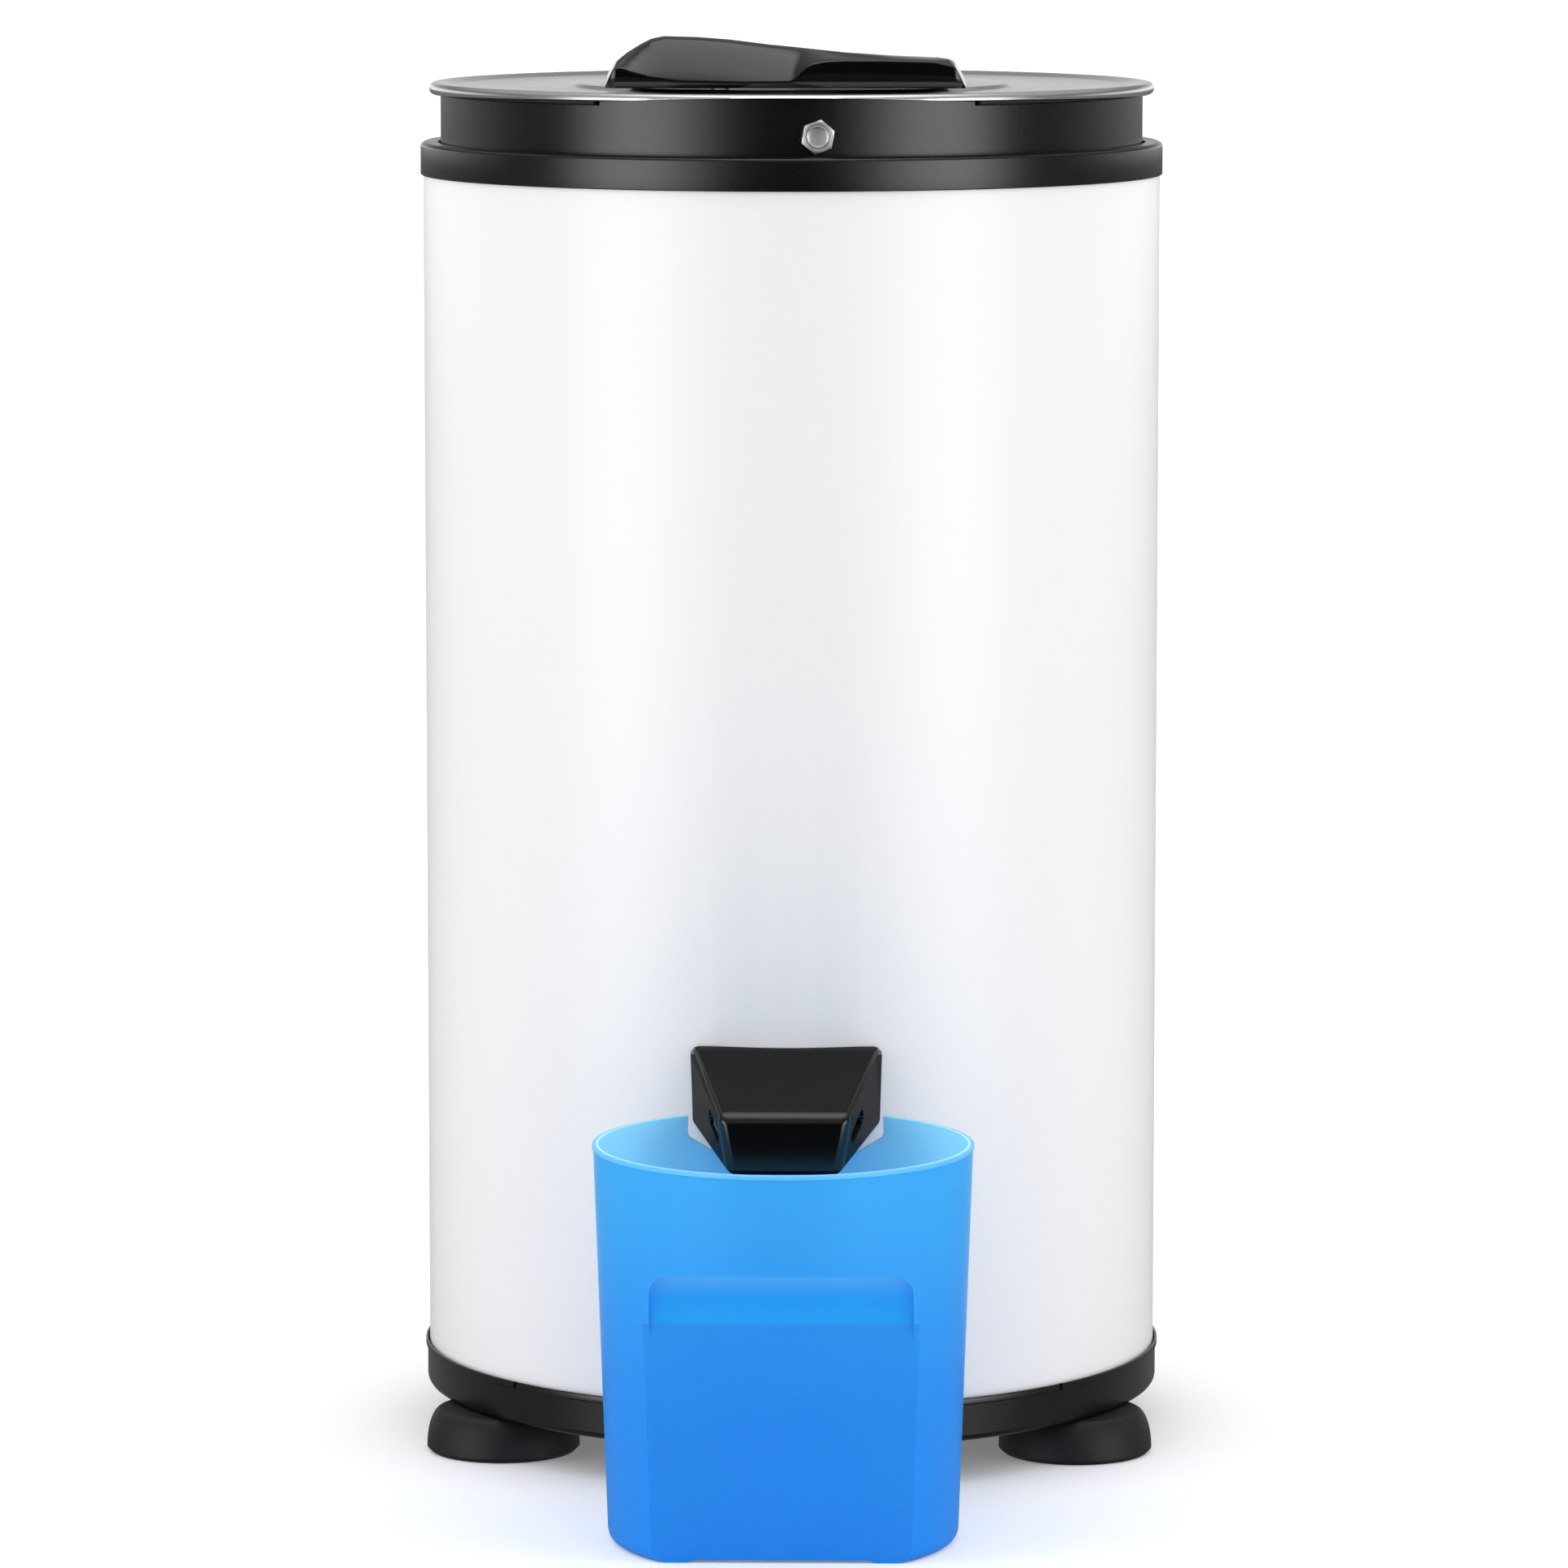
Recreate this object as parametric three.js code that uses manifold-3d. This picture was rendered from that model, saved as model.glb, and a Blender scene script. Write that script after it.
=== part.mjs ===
// Gravity-drain spin dryer with its catch bucket.
// Millimetres, +Z up. The spout and the bucket face -Y, the lid's hinge is at +Y.
import * as THREE from 'three';
import { mergeVertices } from 'three/addons/utils/BufferGeometryUtils.js';
import { ConvexGeometry } from 'three/addons/geometries/ConvexGeometry.js';
import Module from 'manifold-3d';

const wasm = await Module();
wasm.setup();

// Clearances shared by many pieces
const seatGap = 0.3;
const overrun = 6;
const deepCut = 12;
const weldTolerance = 0.0001;

// Roundness of the turned pieces, in sides
const wideSides = 40;
const innerSides = 20;
const smallSides = 12;
const pinSides = 10;
const holeSides = 8;
const hexSides = 6;

// Casing shell
const shellRadius = 164;
const shellWall = 1;
const shellSeatDepth = 4.5;
const shellHeight = 538;
const shellLipGap = 0.8;

// Base pan
const baseHeight = 19.5;
const baseProud = 1;
const baseRadius = shellRadius + baseProud;
const baseLip = 0.8;
const baseLipHeight = 3;
const baseCorner = 3;
const baseFloor = 3;
const baseRim = 4;
const ventRadius = 24;

// Feet
const footHeight = 19;
const footRadius = 34;
const footTopRadius = 29.5;
const footEdge = 2;
const footInset = 18;
const footPitchRadius = baseRadius - footInset;
const footRecessRadius = 9;
const footRecessDepth = 10;
const footCount = 3;
const footArcSteps = 3;
const footSides = 16;
const footScrewRadius = 2.5;
const footScrewHeadRadius = 6;
const footScrewHeadHeight = 3;
const footScrewEnd = 3;

// Collar ring
const ringProud = 1.2;
const ringRadius = shellRadius + ringProud;
const ringSkirt = 8;
const ringFlange = 4;
const ringCurb = 2.5;
const ringBevel = 2.2;
const ringGroove = 1.3;
const ringFlangeWidth = 18;
const ringHoleRadius = shellRadius - ringFlangeWidth;

// Collar band
const bandSetback = 7.8;
const bandRadius = shellRadius - bandSetback;
const bandWall = 3;
const bandHeight = 23.3;
const bandDeck = 3;
const neckSetback = 44.2;
const neckRadius = bandRadius - neckSetback;
const neckWall = 2.5;
const neckDepth = 20;
const neckBend = 5;
const tabRise = 1.8;
const tabHalfAngle = 31 * Math.PI / 180;
const tabSteps = 12;

// Hex bolt in the band, with its nut
const boltX = 13.5;
const boltRise = 11;
const boltRadius = 4;
const boltAcrossFlats = 13;
const boltHead = 4.5;
const nutHeight = 6.5;
const nutReach = 0.6;

// Keeper that the latch tongue slides under
const keeperLeft = -12;
const keeperRight = 25;
const keeperReach = 22;
const keeperLeg = 2.6;
const keeperShelf = 2.4;
const keeperFoot = 1;
const keeperClear = 0.4;

// Lid pan
const lidOverhang = 5;
const lidRimRadius = bandRadius + lidOverhang;
const lidRimHeight = 5.2;
const lidRollWidth = 5;
const lidRollBevel = 1.5;
const lidSheet = 1.2;
const lidSlope = 8;
const lidDishDepth = 1.7;
const lidStep = 1.2;
const lidStepInset = 66.2;
const lidStepRadius = lidRimRadius - lidStepInset;
const lidStepWidth = 3;
const lidNotchGap = 0.8;
const lidNotchMargin = 1.5 * Math.PI / 180;
const hingeNotchHalf = 31;
const hingeNotchDepth = 11;

// Lid liner
const linerClear = 4;
const linerRadius = neckRadius - linerClear;
const linerWall = 2.5;
const linerFloor = 2;
const linerDepth = 15.9;
const linerWindowMargin = 5;

// Lever handle on the lid, its pivot and its tongue
const leverX = -30;
const leverInset = 81.2;
const leverY = leverInset - lidRimRadius;
const leverTravel = 16 * Math.PI / 180;
const handleLeft = 79.6;
const handleRight = 77.1;
const handleRise = 22.8;
const handleTailRise = 13.8;
const handleDepth = 36;
const handleTopDepth = 20;
const handleFootDepth = 31;
const pivotRadius = 4;
const pivotHeadRadius = 7;
const pivotHeadHeight = 2;
const pivotSink = 8;
const tongueLength = 62;
const tongueWidth = 10;
const tongueThickness = 3;
const tongueRise = 12;
const tongueAngle = 8 * Math.PI / 180;

// Lid switch and its plunger
const switchLength = 19;
const switchWidth = 12;
const switchHeight = 15;
const switchGap = 0.8;
const plungerRadius = 1.5;
const plungerTravel = 2;
const plungerReach = 7.5;
const plungerSink = 6;
const plungerDrop = 2.5;

// Hinge at the back of the lid
const hingePinRadius = 2.5;
const hingePinSetback = 10.3;
const hingePinRise = 15.5;
const hingeHalf = 24;
const hingeEar = 6;
const hingeEarRadius = 5.2;
const hingePlate = 4;
const hingePlateHeight = 9;
const knuckleRadius = 5;
const knuckleGap = 0.5;
const leafThickness = 2.8;
const leafReach = 44;
const pinHead = 1.2;
const pinHeadRadius = 3.6;

// Spout
const spoutAboveHose = 24;
const spoutHalfWidth = 41.3;
const spoutRearDrop = 35;
const spoutReach = 51;
const spoutCreaseDrop = 21.5;
const spoutCreaseHalf = 28;
const spoutLipReach = 55;
const spoutLipDrop = 47;
const spoutLipHalf = 23.7;
const spoutWall = 2.5;
const spoutSlotLength = 12;
const spoutSlotHeight = 4;
const spoutSlotReach = 36;
const spoutSlotDrop = 27;
const spoutBossWidth = 9;
const spoutBossDepth = 9;
const spoutBossHeight = 9;
const spoutScrewRadius = 2;
const spoutScrewHeadRadius = 3.6;
const spoutScrewHead = 2.4;
const spoutScrewLength = 12;

// Tub round the drum, with its drain nozzle and hose
const tubClear = 23;
const tubRadius = shellRadius - tubClear;
const plateHeight = 3;
const plateInset = 9;
const plateRadius = tubRadius - plateInset;
const plateHoleRadius = 30;
const plateRise = 136;
const tubWall = 2.5;
const tubFloor = 3;
const tubHeadroom = 20;
const tubMouthLap = 5.5;
const tubMouthRadius = neckRadius + tubMouthLap;
const tubHubRise = 31;
const tubHubRadius = 24;
const tubHubFoot = 45;
const nozzleRadius = 9.5;
const nozzleBore = 7.5;
const nozzleRise = 11;
const nozzleLength = 12;
const hoseWall = 1.6;
const hoseLap = 9;
const hoseReach = 14;
const hoseHoleGap = 0.5;
const sealWidth = 12;
const sealHeight = 8;
const shaftSealRadius = 14;
const shaftSealHeight = 6;

// Drum, hub, shaft and plate
const drumClear = 19;
const drumRadius = tubRadius - drumClear;
const drumWall = 1.5;
const drumRise = 48;
const drumHeadroom = 10;
const drumMouthInset = 6;
const drumMouthRadius = neckRadius - drumMouthInset;
const drumHoleRadius = 3;
const drumHoleRows = 3;
const drumHoleColumns = 8;
const drumHoleSides = 6;
const hubRadius = 52;
const hubFlange = 5;
const hubNeckRadius = 19;
const hubNeckDrop = 10;
const shaftRadius = 8;
const shaftEndRadius = 6;
const shaftShoulderGap = 0.6;
const shaftFoot = 8;
const shaftEndHeight = 14;
const drumNutAcrossFlats = 19;
const drumNutHeight = 9;
const capRadius = 46;
const capHeight = 22;
const capWall = 2;
const capFootWidth = 4;
const capTopRadius = 22;

// Press plate
const pressClear = 6;
const pressRadius = drumMouthRadius - pressClear;
const pressSheet = 2.5;
const pressRim = 5;
const pressRimWidth = 2.5;
const pressCrossShare = 0.09;
const pressHubShare = 0.09;
const pressSectorShare = 0.29;
const pressBeadShare = 0.33;
const pressHubRadius = pressRadius * pressHubShare;
const pressSectorRadius = pressRadius * pressSectorShare;
const pressBeadRadius = pressRadius * pressBeadShare;
const pressBeadWidth = 2;
const pressBeadHeight = 1.2;
const pressRingShares = [0.81, 0.785, 0.62, 0.62, 0.41];
const pressHoleShares = [0.08, 0.038, 0.054, 0.038, 0.038];
const pressHoleTurnShares = [[0], [1 / 3, 2 / 3], [0.5], [0], [0]];
const pressHoleGroups = 8;
const pressHoleSides = 5;

// Motor
const stackHeight = 52;
const statorRadius = 56;
const airGap = 0.8;
const rotorRadius = 33;
const bellWall = 4;
const bellSocket = 11;
const motorDrop = 107;
const bearingRadius = 16;
const bearingHeight = 10;
const rotorTrim = 3;

// Suspension
const mountCount = 3;
const mountInset = 52;
const mountPitchRadius = shellRadius - mountInset;
const postRadius = 7;
const postHeight = 112;
const postFlangeRadius = 15;
const postFlangeHeight = 4;
const postFlangeRise = 44;
const bufferHeight = 14;
const springRadius = 11.5;
const springWireDiameter = 3;
const springWire = springWireDiameter / 2;
const springTurns = 5;
const springStepsPerTurn = 8;
const springWireSides = 5;

// Brake
const wheelRadius = 30;
const wheelHeight = 10;
const wheelRise = 9;
const brakeArmWidth = 8;
const brakeArmHeight = 6;
const brakePadThickness = 7.5;
const brakePadLength = 18;
const brakePivotY = -40;
const brakeArmTail = 7;
const brakeArmLength = 90;
const brakePivotRadius = 3;
const brakePivotCollar = 6;
const brakePivotCap = 3;
const brakeHoleRadius = 2.6;
const brakeHoleInset = 5;
const wireRadius = 1;
const nippleRadius = 3.2;
const nippleLength = 3.4;
const cableRadius = 2.5;
const cableSides = 8;
const cableSteps = 18;
const stopThickness = 4;
const stopWidth = 12;
const stopX = 70;
const stopHeight = 19;
const cableRunInset = 11.7;
const cableRunRadius = shellRadius - cableRunInset;
const cableRunAngle = 25 * Math.PI / 180;
const cableBendRise = 79;
const cableOutShares = [0, 0.184, 0.404, 0.592, 0.78, 0.922, 0.988, 1];
const cableSideShares = [0, 0, 0.078, 0.233, 0.492, 0.777, 0.953, 1];
const cableRiseShares = [0, 0, 0.013, 0.076, 0.228, 0.456, 0.709, 1];
const cableRunShares = [0.14, 0.4, 0.71, 1];

// Capacitor and cord gland
const capacitorRadius = 18;
const capacitorHeight = 60;
const capacitorX = -70;
const capacitorY = 60;
const capacitorEdge = 2;
const glandRise = 41;
const glandFlangeRadius = 11;
const glandFlange = 4;
const glandNeckRadius = 7;
const glandNeck = 8;
const glandBore = 3.6;

// Bucket
const bucketLap = 8;
const bucketTopRadius = 80;
const bucketBaseRadius = 74;
const bucketWall = 2.2;
const bucketFloor = 3;
const bucketLip = 1.5;
const bucketLipHeight = 4;
const bucketStandOff = 2.5;
const bucketCorner = 4;
const gripInset = 53;
const gripHeight = 100;
const gripSlopeRise = 21;
const notchHalf = 42.3;
const notchClear = 3;

// Levels, from the floor up
const baseTop = footHeight + baseHeight;
const floorTop = footHeight + baseFloor;
const shellBottom = baseTop - shellSeatDepth;
const shellTop = shellBottom + shellHeight;
const ringTop = shellTop + ringFlange + ringCurb;
const bandBottom = shellTop + ringFlange;
const bandTop = bandBottom + bandHeight;
const deckTop = bandBottom + bandDeck;
const lidBottom = bandTop + seatGap;
const lidTop = lidBottom + lidRimHeight;
const dishTop = lidTop - lidDishDepth;
const dishUnder = dishTop - lidSheet;
const plateauTop = dishTop + lidStep;
const handleBottom = plateauTop + seatGap;
const plateBottom = floorTop + plateRise;
const plateTop = plateBottom + plateHeight;
const tubBottom = plateTop;
const tubTop = shellTop - tubHeadroom;
const drumBottom = tubBottom + drumRise;
const drumFloorTop = drumBottom + drumWall;
const drumTop = tubTop - drumHeadroom;
const drumHeight = drumTop - drumBottom;
const bellTop = plateBottom;
const bellBottom = bellTop - motorDrop;
const stackBottom = (bellTop + bellBottom - stackHeight) / 2;
const stackTop = stackBottom + stackHeight;
const brakeLevel = floorTop + wheelRise + wheelHeight / 2;
const pressBottom = drumFloorTop + capHeight + seatGap;
const hoseLevel = tubBottom + nozzleRise;
const spoutTop = hoseLevel + spoutAboveHose;
const bucketHeight = spoutTop - spoutRearDrop + bucketLap;
const notchDepth = bucketLap + spoutLipDrop - spoutRearDrop + notchClear;

// Finishes
const finishes = {
  whiteSteel: { color: 0xf1f1f1, roughness: 0.2, metalness: 0 },
  blackGloss: { color: 0x0c0c0d, roughness: 0.15, metalness: 0 },
  blackSatin: { color: 0x161617, roughness: 0.35, metalness: 0 },
  rubber: { color: 0x141414, roughness: 0.7, metalness: 0 },
  lidSteel: { color: 0xc4c6c8, roughness: 0.2, metalness: 1 },
  steel: { color: 0xa8abae, roughness: 0.35, metalness: 1 },
  drumSteel: { color: 0xb9bcbf, roughness: 0.25, metalness: 1 },
  whitePlastic: { color: 0xe9eaea, roughness: 0.4, metalness: 0 },
  greyPlastic: { color: 0x9b9ea1, roughness: 0.5, metalness: 0 },
  motorPaint: { color: 0x3a3d40, roughness: 0.5, metalness: 0.3 },
  bluePlastic: { color: 0x2f97ea, roughness: 0.3, metalness: 0 },
};

// A closed solid from a geometry: shared corners merged, faces outward.
function solidOf(geometry) {
  const bare = geometry.clone();
  bare.deleteAttribute('normal');
  bare.deleteAttribute('uv');
  const merged = mergeVertices(bare, weldTolerance);
  const corners = merged.index.array;
  const place = merged.attributes.position;
  const point = (i) => new THREE.Vector3().fromBufferAttribute(place, i);
  const faces = [];
  let volume = 0;
  for (let i = 0; i < corners.length; i += 3) {
    const [a, b, c] = [corners[i], corners[i + 1], corners[i + 2]];
    if (a !== b && b !== c && c !== a) {
      faces.push([a, b, c]);
      volume += point(a).dot(point(b).cross(point(c)));
    }
  }
  const outward = volume < 0 ? faces.map(([a, b, c]) => [a, c, b]) : faces;
  return new wasm.Manifold(new wasm.Mesh({
    numProp: 3,
    vertProperties: new Float32Array(place.array),
    triVerts: new Uint32Array(outward.flat()),
  }));
}

function geometryOf(solid) {
  const data = solid.getMesh();
  const geometry = new THREE.BufferGeometry();
  geometry.setAttribute('position', new THREE.BufferAttribute(data.vertProperties, 3));
  geometry.setIndex(new THREE.BufferAttribute(data.triVerts, 1));
  return geometry;
}

function join(first, ...others) {
  return geometryOf(others.reduce((sum, next) => sum.add(solidOf(next)), solidOf(first)));
}

function cut(first, ...tools) {
  return geometryOf(tools.reduce((rest, tool) => rest.subtract(solidOf(tool)), solidOf(first)));
}

function common(first, second) {
  return geometryOf(solidOf(first).intersect(solidOf(second)));
}

// A turned shape about the Z axis from [radius, height] points.
function turned(profile, sides) {
  const points = profile.map(([radius, height]) => new THREE.Vector2(radius, height));
  if (profile[0][0] > 0) points.push(points[0].clone());
  return new THREE.LatheGeometry(points, sides).rotateX(Math.PI / 2);
}

function rod(radius, low, high, sides) {
  return turned([[0, low], [radius, low], [radius, high], [0, high]], sides);
}

function ring(inner, outer, low, high, sides) {
  return turned([[inner, low], [outer, low], [outer, high], [inner, high]], sides);
}

function block(x, y, z) {
  const size = [x, y, z].map(([low, high]) => high - low);
  const middle = [x, y, z].map(([low, high]) => (low + high) / 2);
  return new THREE.BoxGeometry(...size).translate(...middle);
}

// A rod along Y, from one depth to another, about a line at x and z.
function rodAlongY(radius, from, to, x, z, sides) {
  return rod(radius, -to, -from, sides).rotateX(Math.PI / 2).translate(x, 0, z);
}

function rodAlongX(radius, from, to, y, z, sides) {
  return rod(radius, from, to, sides).rotateY(Math.PI / 2).translate(0, y, z);
}

// A flat outline in X and Y raised from one level to another.
function raised(points, low, high) {
  const outline = new THREE.Shape(points.map(([x, y]) => new THREE.Vector2(x, y)));
  const geometry = new THREE.ExtrudeGeometry(outline, { depth: high - low, bevelEnabled: false });
  return geometry.translate(0, 0, low);
}

// An outline in Y and Z carried along X.
function carriedAlongX(points, from, to) {
  return raised(points, from, to).rotateZ(Math.PI / 2).rotateY(Math.PI / 2);
}

function hexagon(acrossFlats, low, high) {
  return rod(acrossFlats / 2 / Math.cos(Math.PI / hexSides), low, high, hexSides);
}

// The wedge of a disc between two angles from the front, -Y, towards +X.
function frontSector(radius, fromAngle, toAngle, steps, low, high) {
  const points = [[0, 0]];
  for (let i = 0; i <= steps; i += 1) {
    const angle = fromAngle + (toAngle - fromAngle) * i / steps;
    points.push([radius * Math.sin(angle), -radius * Math.cos(angle)]);
  }
  return raised(points, low, high);
}

function around(count, radius, firstAngle) {
  return Array.from({ length: count }, (_, i) => {
    const angle = firstAngle + i * 2 * Math.PI / count;
    return [radius * Math.cos(angle), radius * Math.sin(angle)];
  });
}

function flatCircle(sides, radius) {
  return new THREE.Shape(around(sides, radius, 0).map(([x, y]) => new THREE.Vector2(x, y)));
}

function addPiece(parent, name, form, finish, x = 0, y = 0, z = 0) {
  const geometry = geometryOf(solidOf(form));
  geometry.computeVertexNormals();
  const mesh = new THREE.Mesh(geometry, new THREE.MeshStandardMaterial(finish));
  mesh.name = name;
  mesh.position.set(x, y, z);
  parent.add(mesh);
  return mesh;
}

const footPlaces = around(footCount, footPitchRadius, Math.PI / 2);
const footNames = ['rear', 'left', 'right'];
const mountPlaces = around(mountCount, mountPitchRadius, Math.PI / 2);
const screwClear = footScrewRadius + seatGap;

function footShape() {
  const dome = [];
  for (let i = 0; i <= footArcSteps; i += 1) {
    const turn = Math.PI / 2 * i / footArcSteps;
    dome.push([
      footTopRadius + (footRadius - footTopRadius) * Math.cos(turn),
      footEdge + (footHeight - footEdge) * Math.sin(turn),
    ]);
  }
  return turned([
    [screwClear, footRecessDepth],
    [footRecessRadius, footRecessDepth],
    [footRecessRadius, 0],
    [footRadius - footEdge, 0],
    ...dome,
    [screwClear, footHeight],
  ], footSides);
}

function footScrewShape() {
  const headTop = footRecessDepth - seatGap;
  return turned([
    [0, headTop - footScrewHeadHeight],
    [footScrewHeadRadius, headTop - footScrewHeadHeight],
    [footScrewHeadRadius, headTop],
    [footScrewRadius, headTop],
    [footScrewRadius, floorTop + footScrewEnd],
    [0, floorTop + footScrewEnd],
  ], pinSides);
}

function basePanShape() {
  const lipRadius = shellRadius + shellLipGap;
  const innerRadius = shellRadius - shellWall - baseRim;
  const pan = turned([
    [ventRadius, footHeight],
    [baseRadius - baseCorner, footHeight],
    [baseRadius, footHeight + baseCorner],
    [baseRadius, baseTop - baseLipHeight],
    [baseRadius + baseLip, baseTop - baseLipHeight],
    [baseRadius + baseLip, baseTop],
    [lipRadius, baseTop],
    [lipRadius, shellBottom],
    [innerRadius, shellBottom],
    [innerRadius, floorTop],
    [ventRadius, floorTop],
  ], wideSides);
  const holes = footPlaces.map(([x, y]) =>
    rod(screwClear, footHeight - overrun, floorTop + overrun, pinSides).translate(x, y, 0));
  return cut(pan, ...holes);
}

const hoseRadius = nozzleRadius + seatGap + hoseWall;
const glandLevel = footHeight + glandRise;
const spoutScrewX = spoutHalfWidth - spoutWall - spoutBossWidth / 2;
const spoutScrewLevel = spoutTop - spoutWall - spoutBossHeight / 2;

function casingShape() {
  const sheet = ring(shellRadius - shellWall, shellRadius, shellBottom, shellTop, wideSides);
  const drain = rodAlongY(hoseRadius + hoseHoleGap, -shellRadius - overrun, 0, 0, hoseLevel, smallSides);
  const gland = rodAlongY(glandNeckRadius + seatGap, 0, shellRadius + overrun, 0, glandLevel, smallSides);
  const screwHoles = [-1, 1].map((side) => rodAlongY(
    spoutScrewRadius + seatGap, -shellRadius - overrun, 0, side * spoutScrewX, spoutScrewLevel, holeSides));
  return cut(sheet, drain, gland, ...screwHoles);
}

function collarRingShape() {
  const grooveRadius = bandRadius + ringGroove;
  return turned([
    [shellRadius + seatGap, shellTop - ringSkirt],
    [ringRadius, shellTop - ringSkirt],
    [ringRadius, ringTop - ringBevel],
    [ringRadius - ringBevel, ringTop],
    [grooveRadius, ringTop],
    [grooveRadius, bandBottom],
    [ringHoleRadius, bandBottom],
    [ringHoleRadius, shellTop],
    [shellRadius + seatGap, shellTop],
  ], wideSides);
}

const bandInner = bandRadius - bandWall;
const boltLevel = bandBottom + boltRise;
const tabTop = bandTop + tabRise;

function collarBandShape() {
  const outerNeck = neckRadius + neckWall;
  const band = turned([
    [bandRadius, bandBottom],
    [bandRadius, bandTop],
    [bandInner, bandTop],
    [bandInner, deckTop],
    [neckRadius + neckBend, deckTop],
    [neckRadius, deckTop - neckBend],
    [neckRadius, bandBottom - neckDepth],
    [outerNeck, bandBottom - neckDepth],
    [outerNeck, bandBottom - neckBend],
    [outerNeck + neckBend, bandBottom],
  ], wideSides);
  const tab = common(
    ring(bandInner, bandRadius, bandTop - overrun, tabTop, wideSides),
    frontSector(ringRadius + overrun, -tabHalfAngle, tabHalfAngle, tabSteps, bandTop - overrun, tabTop));
  const boltHole = rodAlongY(boltRadius + seatGap, -ringRadius - overrun, 0, boltX, boltLevel, pinSides);
  return cut(join(band, tab), boltHole);
}

const boltFace = Math.sqrt(bandRadius ** 2 - (boltX - boltAcrossFlats / 2) ** 2);
const keeperBack = Math.sqrt(bandInner ** 2 - boltX ** 2) - seatGap;
const keeperFront = keeperBack - keeperLeg;
const tongueBottom = deckTop + tongueRise;
const tongueTop = tongueBottom + tongueThickness;
const shelfBottom = tongueTop + keeperClear;
const shelfTop = shelfBottom + keeperShelf;

function hexBoltShape() {
  const face = boltFace + seatGap;
  const shank = rod(boltRadius, keeperFront - nutHeight - nutReach, face + boltHead / 2, pinSides);
  const bolt = join(hexagon(boltAcrossFlats, face, face + boltHead), shank);
  return bolt.rotateX(Math.PI / 2).translate(boltX, 0, boltLevel);
}

// The keeper's leg carries the bolt's nut, welded on.
function keeperShape() {
  const width = [keeperLeft, keeperRight];
  const leg = block(width, [-shellRadius, -keeperFront], [deckTop + keeperFoot, shelfTop]);
  const shelf = block(width, [-shellRadius, -keeperBack + keeperReach], [shelfBottom, shelfTop]);
  const insideBand = rod(bandInner - seatGap, deckTop, bandTop, wideSides);
  const nut = hexagon(boltAcrossFlats, keeperFront - nutHeight, keeperFront + seatGap)
    .rotateZ(Math.PI / hexSides).rotateX(Math.PI / 2).translate(boltX, 0, boltLevel);
  const hole = rodAlongY(boltRadius + seatGap, -shellRadius, -keeperFront + nutHeight + overrun,
    boltX, boltLevel, pinSides);
  return cut(join(common(join(leg, shelf), insideBand), nut), hole);
}

const leverRadius = Math.hypot(leverX, leverY);

function lidPanShape() {
  const rollInner = lidRimRadius - lidRollWidth;
  const pan = turned([
    [0, plateauTop],
    [lidStepRadius, plateauTop],
    [lidStepRadius + lidStepWidth, dishTop],
    [rollInner - lidSlope, dishTop],
    [rollInner, lidTop],
    [lidRimRadius - lidRollBevel, lidTop],
    [lidRimRadius, lidTop - lidRollBevel],
    [lidRimRadius, lidBottom + lidRollBevel],
    [lidRimRadius - lidRollBevel, lidBottom],
    [rollInner + lidSheet, lidBottom],
    [rollInner + lidSheet, dishTop],
    [rollInner, dishTop],
    [rollInner - lidSlope + lidSheet, dishUnder],
    [lidStepRadius + lidStepWidth, dishUnder],
    [lidStepRadius, plateauTop - lidSheet],
    [0, plateauTop - lidSheet],
  ], wideSides);
  const notchInner = bandInner - lidNotchGap;
  const notchAngle = tabHalfAngle + lidNotchMargin;
  const low = lidBottom - overrun;
  const high = lidTop + overrun;
  const overTab = tabTop + seatGap;
  const tabNotch = common(
    ring(notchInner, ringRadius + overrun, low, overTab, wideSides),
    frontSector(ringRadius + deepCut, -notchAngle, notchAngle, tabSteps, low, overTab));
  const hingeNotch = block([-hingeNotchHalf, hingeNotchHalf],
    [lidRimRadius - hingeNotchDepth, lidRimRadius + overrun], [low, high]);
  const pivotHole = rod(pivotRadius + seatGap, low, high, pinSides).translate(leverX, leverY, 0);
  return cut(pan, tabNotch, hingeNotch, pivotHole);
}

function lidLinerShape() {
  const bottom = dishUnder - linerDepth;
  const cup = turned([
    [0, bottom],
    [linerRadius, bottom],
    [linerRadius, dishUnder],
    [linerRadius - linerWall, dishUnder],
    [linerRadius - linerWall, bottom + linerFloor],
    [0, bottom + linerFloor],
  ], wideSides);
  const windowHalf = tongueWidth / 2 + linerWindowMargin;
  const windowFar = leverX + (linerRadius - leverRadius) * Math.tan(tongueAngle + leverTravel) + windowHalf;
  const opening = block([leverX - windowHalf, windowFar + windowHalf], [-linerRadius - overrun, leverY],
    [tongueBottom - seatGap, tongueTop + seatGap]);
  return cut(cup, opening);
}

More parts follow.
